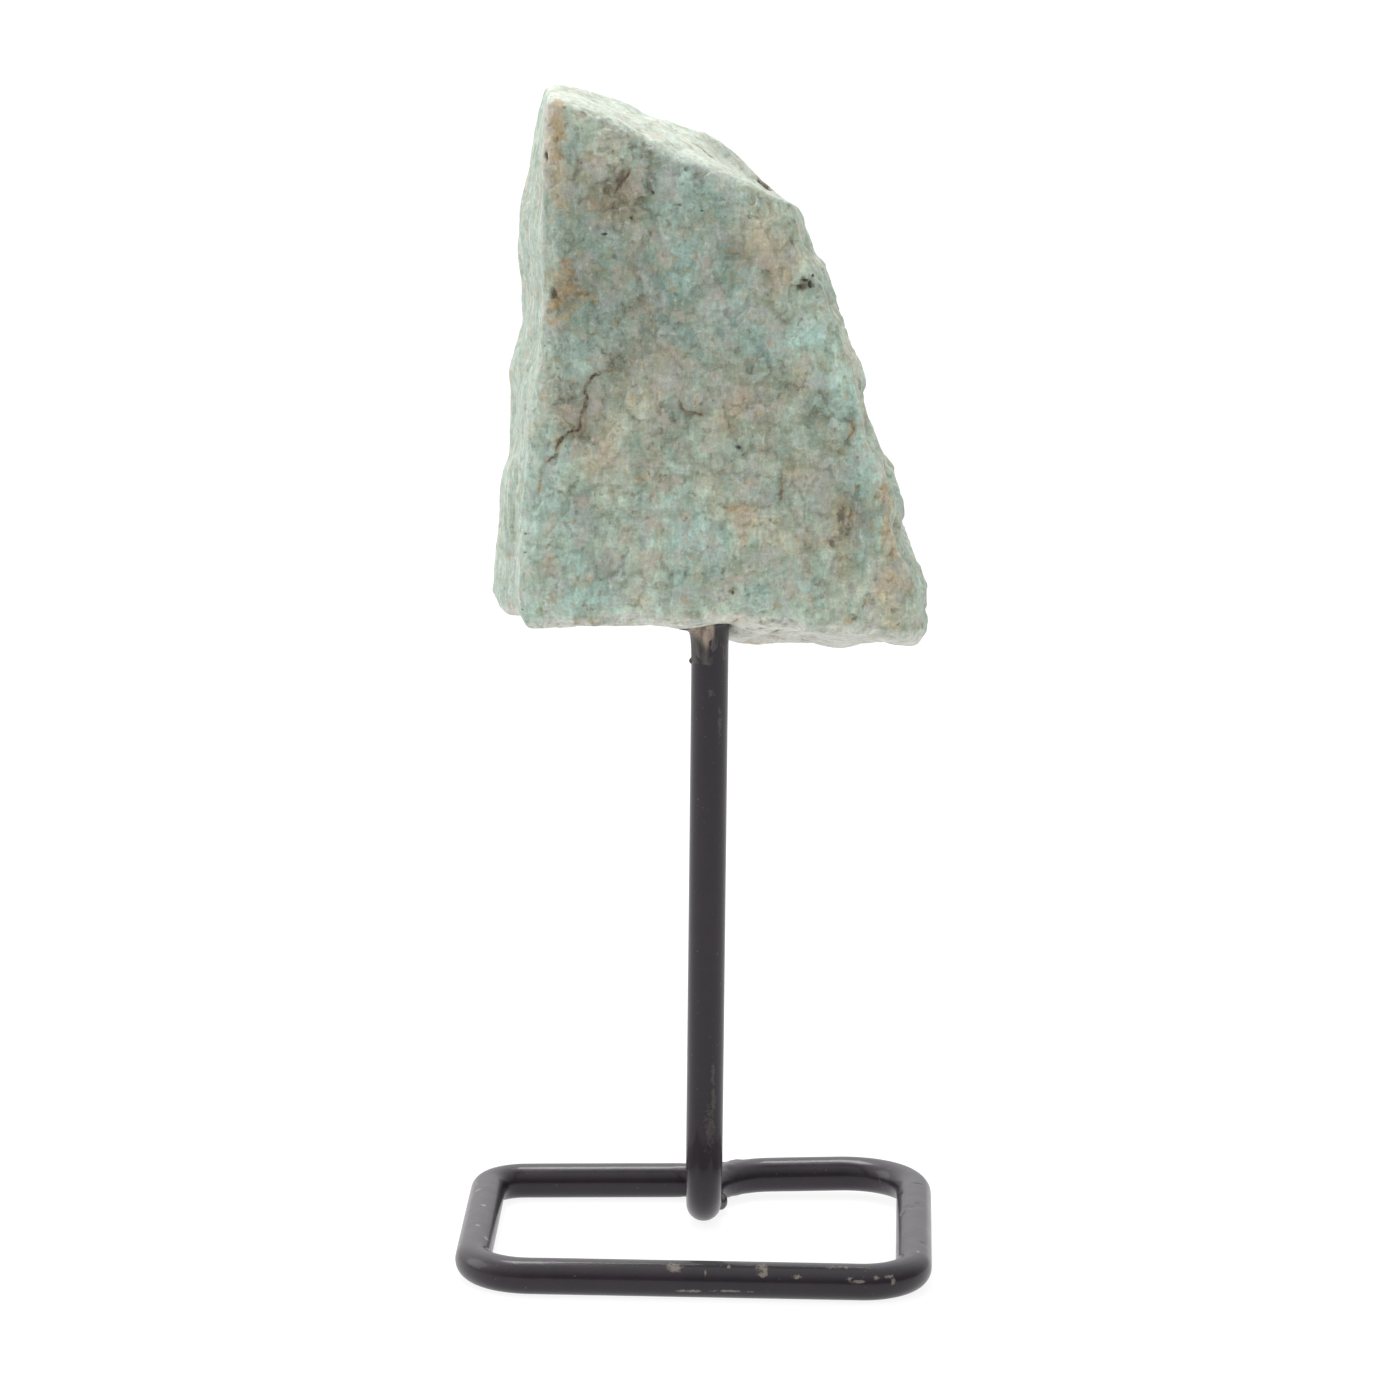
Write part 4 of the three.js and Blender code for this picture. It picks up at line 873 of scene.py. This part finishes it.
# Marks in the paint: the middle in mm and the half sizes along X, Y and Z.
MARKS = {
    "bare": [
        ((-2.8, -21, 3.5), (0.65, 0.8, 0.35)), ((0.7, -21.5, 3.2), (0.14, 0.8, 0.3)),
        ((6.9, -21.5, 3.7), (0.55, 0.8, 0.28)), ((6.9, -22.1, 3.1), (0.45, 0.8, 0.25)),
        ((10.8, -22.4, 2.9), (0.4, 0.8, 0.2)), ((16.6, -22.9, 2.8), (0.3, 0.8, 0.15)),
        ((17.4, -22.9, 2.55), (0.6, 0.8, 0.14)), ((19.5, -22.8, 2.9), (0.3, 0.8, 0.16)),
        ((21, -22.4, 2.95), (0.5, 0.8, 0.14)), ((21.4, -22.4, 2.5), (0.22, 0.8, 0.4)),
        ((15.5, -21.3, 3.75), (1.1, 0.5, 0.12)), ((-0.9, -21.7, 1.1), (1, 0.9, 0.14)),
        ((3.4, -22, 1.2), (1.7, 0.9, 0.1)), ((3.2, -21.4, 3.75), (0.16, 0.6, 0.12)),
        ((-25.9, 9.7, 3.8), (0.25, 0.25, 0.6)), ((-24.9, 2.8, 4), (0.22, 0.3, 0.6)),
        ((-25.3, -5.5, 4), (0.25, 0.35, 0.6)), ((-24.1, -9.2, 3.5), (0.2, 0.35, 0.6)),
        ((-26.1, 13, 3.7), (0.18, 0.25, 0.6)), ((24.4, -16.2, 3.9), (0.2, 0.3, 0.5)),
    ],
    "worn": [
        ((1.2, 3.8, 12.6), (0.45, 0.8, 1.9)), ((1.6, 3.9, 15.8), (0.2, 0.8, 1.6)),
        ((1.6, 3.9, 19.5), (0.16, 0.8, 1.2)), ((1.3, 3.3, 63.9), (0.3, 0.8, 0.3)),
        ((-1.8, 3.2, 67.5), (0.8, 1.5, 0.5)), ((2.3, 3.9, 60.2), (0.16, 0.8, 1.6)),
    ],
}
SPLITS = [                      # the paint's cracks, X and Y on top of the right bar
    [(23.2, -0.6), (23.8, 1.5), (24.7, 0.2), (25.1, 2.3), (25.3, 1.0)],
    [(25.2, 10.1), (25.8, 10.2)], [(24.9, -12.6), (25.1, -12.3)], [(23.4, 9.4), (23.5, 7.9)],
]
for name, spots in MARKS.items():
    reach = np.full(len(points), 6.0)
    for middle, half in spots:
        reach = np.minimum(reach, np.linalg.norm((points - middle) / half, axis=1))
    note(mesh, name, reach)
split = np.full(len(points), 6.0)
for line_of_split in SPLITS:
    side, _ = nearest_on_line(points[:, :2] + 0.12 * cloud(points, 0.6, 129)[:, None], line_of_split)
    split = np.where(points[:, 2] > 2.0, np.minimum(split, np.abs(side) / 0.26), split)
note(mesh, "split", split)
points = points - (0.08 * ramp(1.5, 0.3, split))[:, None] * facing
points[:, 2] = np.maximum(points[:, 2], 0.0)
place_points(mesh, points)
mesh.materials.clear()
mesh.materials.append(black)

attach(stand, "root")
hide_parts("wire_stand")

# ---------------- The glue collar
# Epoxy that squeezed out of the drilled hole when the wire was pushed in. It spreads under the
# stone, most to the left, and clings to the wire as a thin sleeve that was painted over.
ROD_AXIS = (1.20, 5.30)         # mm, the upright's middle where it meets the stone
ROD_RADIUS = 2.09
GLUE_FOOT = 66.8                # mm above the table, its lip on the wire
GLUE_SPREAD = 71.0              # where it meets the stone
GLUE_TOP = 72.8                 # its hidden top
GLUE_RINGS, GLUE_SIDES = 72, 110

# It flares where it meets the stone, widest on the left, and ends in a wavy lip on the wire.
heights = np.linspace(GLUE_FOOT, GLUE_TOP, GLUE_RINGS)
around = np.linspace(0, 2 * math.pi, GLUE_SIDES, endpoint=False)
height, around = np.meshgrid(heights, around, indexing="ij")
leftward = (0.5 - 0.5 * np.cos(around)) ** 1.5
below = np.maximum(GLUE_SPREAD + 0.8 * (1 - leftward) - height, 0)
flare = leftward * (0.40 * np.exp(-below / 0.8) + 1.1 * np.exp(-below / 0.14))
flare += (1 - leftward) * 0.14 * np.exp(-below / 0.5)
circle = np.stack([np.cos(around), np.sin(around), 0 * height], -1)
ridges = cloud(4 * circle + 0.3 * height[..., None] * (0, 0, 1), 1.0, 131, 3)
bumps = cloud(3 * circle + height[..., None] * (0, 0, 1), 1.2, 135, 2)
ragged_foot = GLUE_FOOT + 0.5 * cloud(circle, 0.7, 133, 2)
lip = ramp(-0.1, 0.5, height - ragged_foot)
outer = ROD_RADIUS - 0.06 + lip * (0.09 + 0.05 * ridges + 0.07 * bumps) + flare
radius = np.concatenate([outer, np.full((2, GLUE_SIDES), ROD_RADIUS - 0.4)])
height = np.concatenate([height, np.repeat([[GLUE_TOP], [GLUE_FOOT]], GLUE_SIDES, 1)])
around = np.concatenate([around, around[:2]])
lean = 0.011 * (height - GLUE_SPREAD)  # as the upright does
points = np.stack([
    ROD_AXIS[0] + lean + radius * np.cos(around),
    ROD_AXIS[1] + radius * np.sin(around),
    height,
], -1).reshape(-1, 3)
rings = GLUE_RINGS + 2
faces = [
    (r * GLUE_SIDES + s, r * GLUE_SIDES + (s + 1) % GLUE_SIDES,
     (r + 1) % rings * GLUE_SIDES + (s + 1) % GLUE_SIDES, (r + 1) % rings * GLUE_SIDES + s)
    for r in range(rings) for s in range(GLUE_SIDES)
]
mesh = bpy.data.meshes.new("glue_collar_squeezed")
mesh.from_pydata([Vector(at) / 1000 for at in points], [], faces)
glue = bpy.data.objects.new("glue_collar_squeezed", mesh)
scene.collection.objects.link(glue)
place_points(mesh, points)

# Bare resin shows at the top left. To its right is a black wedge, and below both the black
# paint carries upright grey streaks of painted highlight.
across = points[:, 0] - ROD_AXIS[0]
streaked = points[:, 2] + 0.5 * cloud(points, [0.45, 0.45, 3.0], 137, 2)
resin_foot = 69.4 + 0.9 * np.abs(across + 0.4)
note(mesh, "resin", ramp(-0.7, 0.7, streaked - resin_foot))
wedge = ramp(-0.2, 0.3, streaked - (70.6 - 1.1 * (across - 0.2))) * ramp(0.2, 0.7, across)
note(mesh, "black", np.maximum(wedge, 0.7 * ramp(0.3, -0.3, streaked - 67.0)))

epoxy, tree = blank_material("brown epoxy glue, half painted over")
here = add(tree, "ShaderNodeTexCoord", give="Object")
upright = add(tree, "ShaderNodeMapping", {"Vector": here, "Scale": (1.0, 1.0, 0.22)})
streak = add(tree, "ShaderNodeTexNoise", {
    "Vector": upright, "Scale": 1000 / 0.6, "Detail": 4.0, "Roughness": 0.65})
streak = add(tree, "ShaderNodeMapRange", {"Value": streak, "From Min": 0.40, "From Max": 0.62})
# The black paint, with upright grey streaks that are painted highlight.
painted = add(tree, "ShaderNodeMix", {
    0: streak, 6: linear("#231C21"), 7: linear("#4C4544")}, **COLOUR_MIX)
resin = add(tree, "ShaderNodeMix", {
    0: streak, 6: linear("#665850"), 7: linear("#A39381")}, **COLOUR_MIX)
shade = painted
for mark, colour in (("resin", resin), ("black", linear("#1A1419"))):
    share = add(tree, "ShaderNodeAttribute", give="Fac", attribute_name=mark)
    shade = add(tree, "ShaderNodeMix", {0: share, 6: shade, 7: colour}, **COLOUR_MIX)
shader = add(tree, "ShaderNodeBsdfPrincipled", {"Base Color": shade, "Roughness": 0.45, "IOR": 1.55})
add(tree, "ShaderNodeOutputMaterial", {"Surface": shader})
mesh.materials.append(epoxy)

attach(glue, "root")
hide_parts("glue_collar")
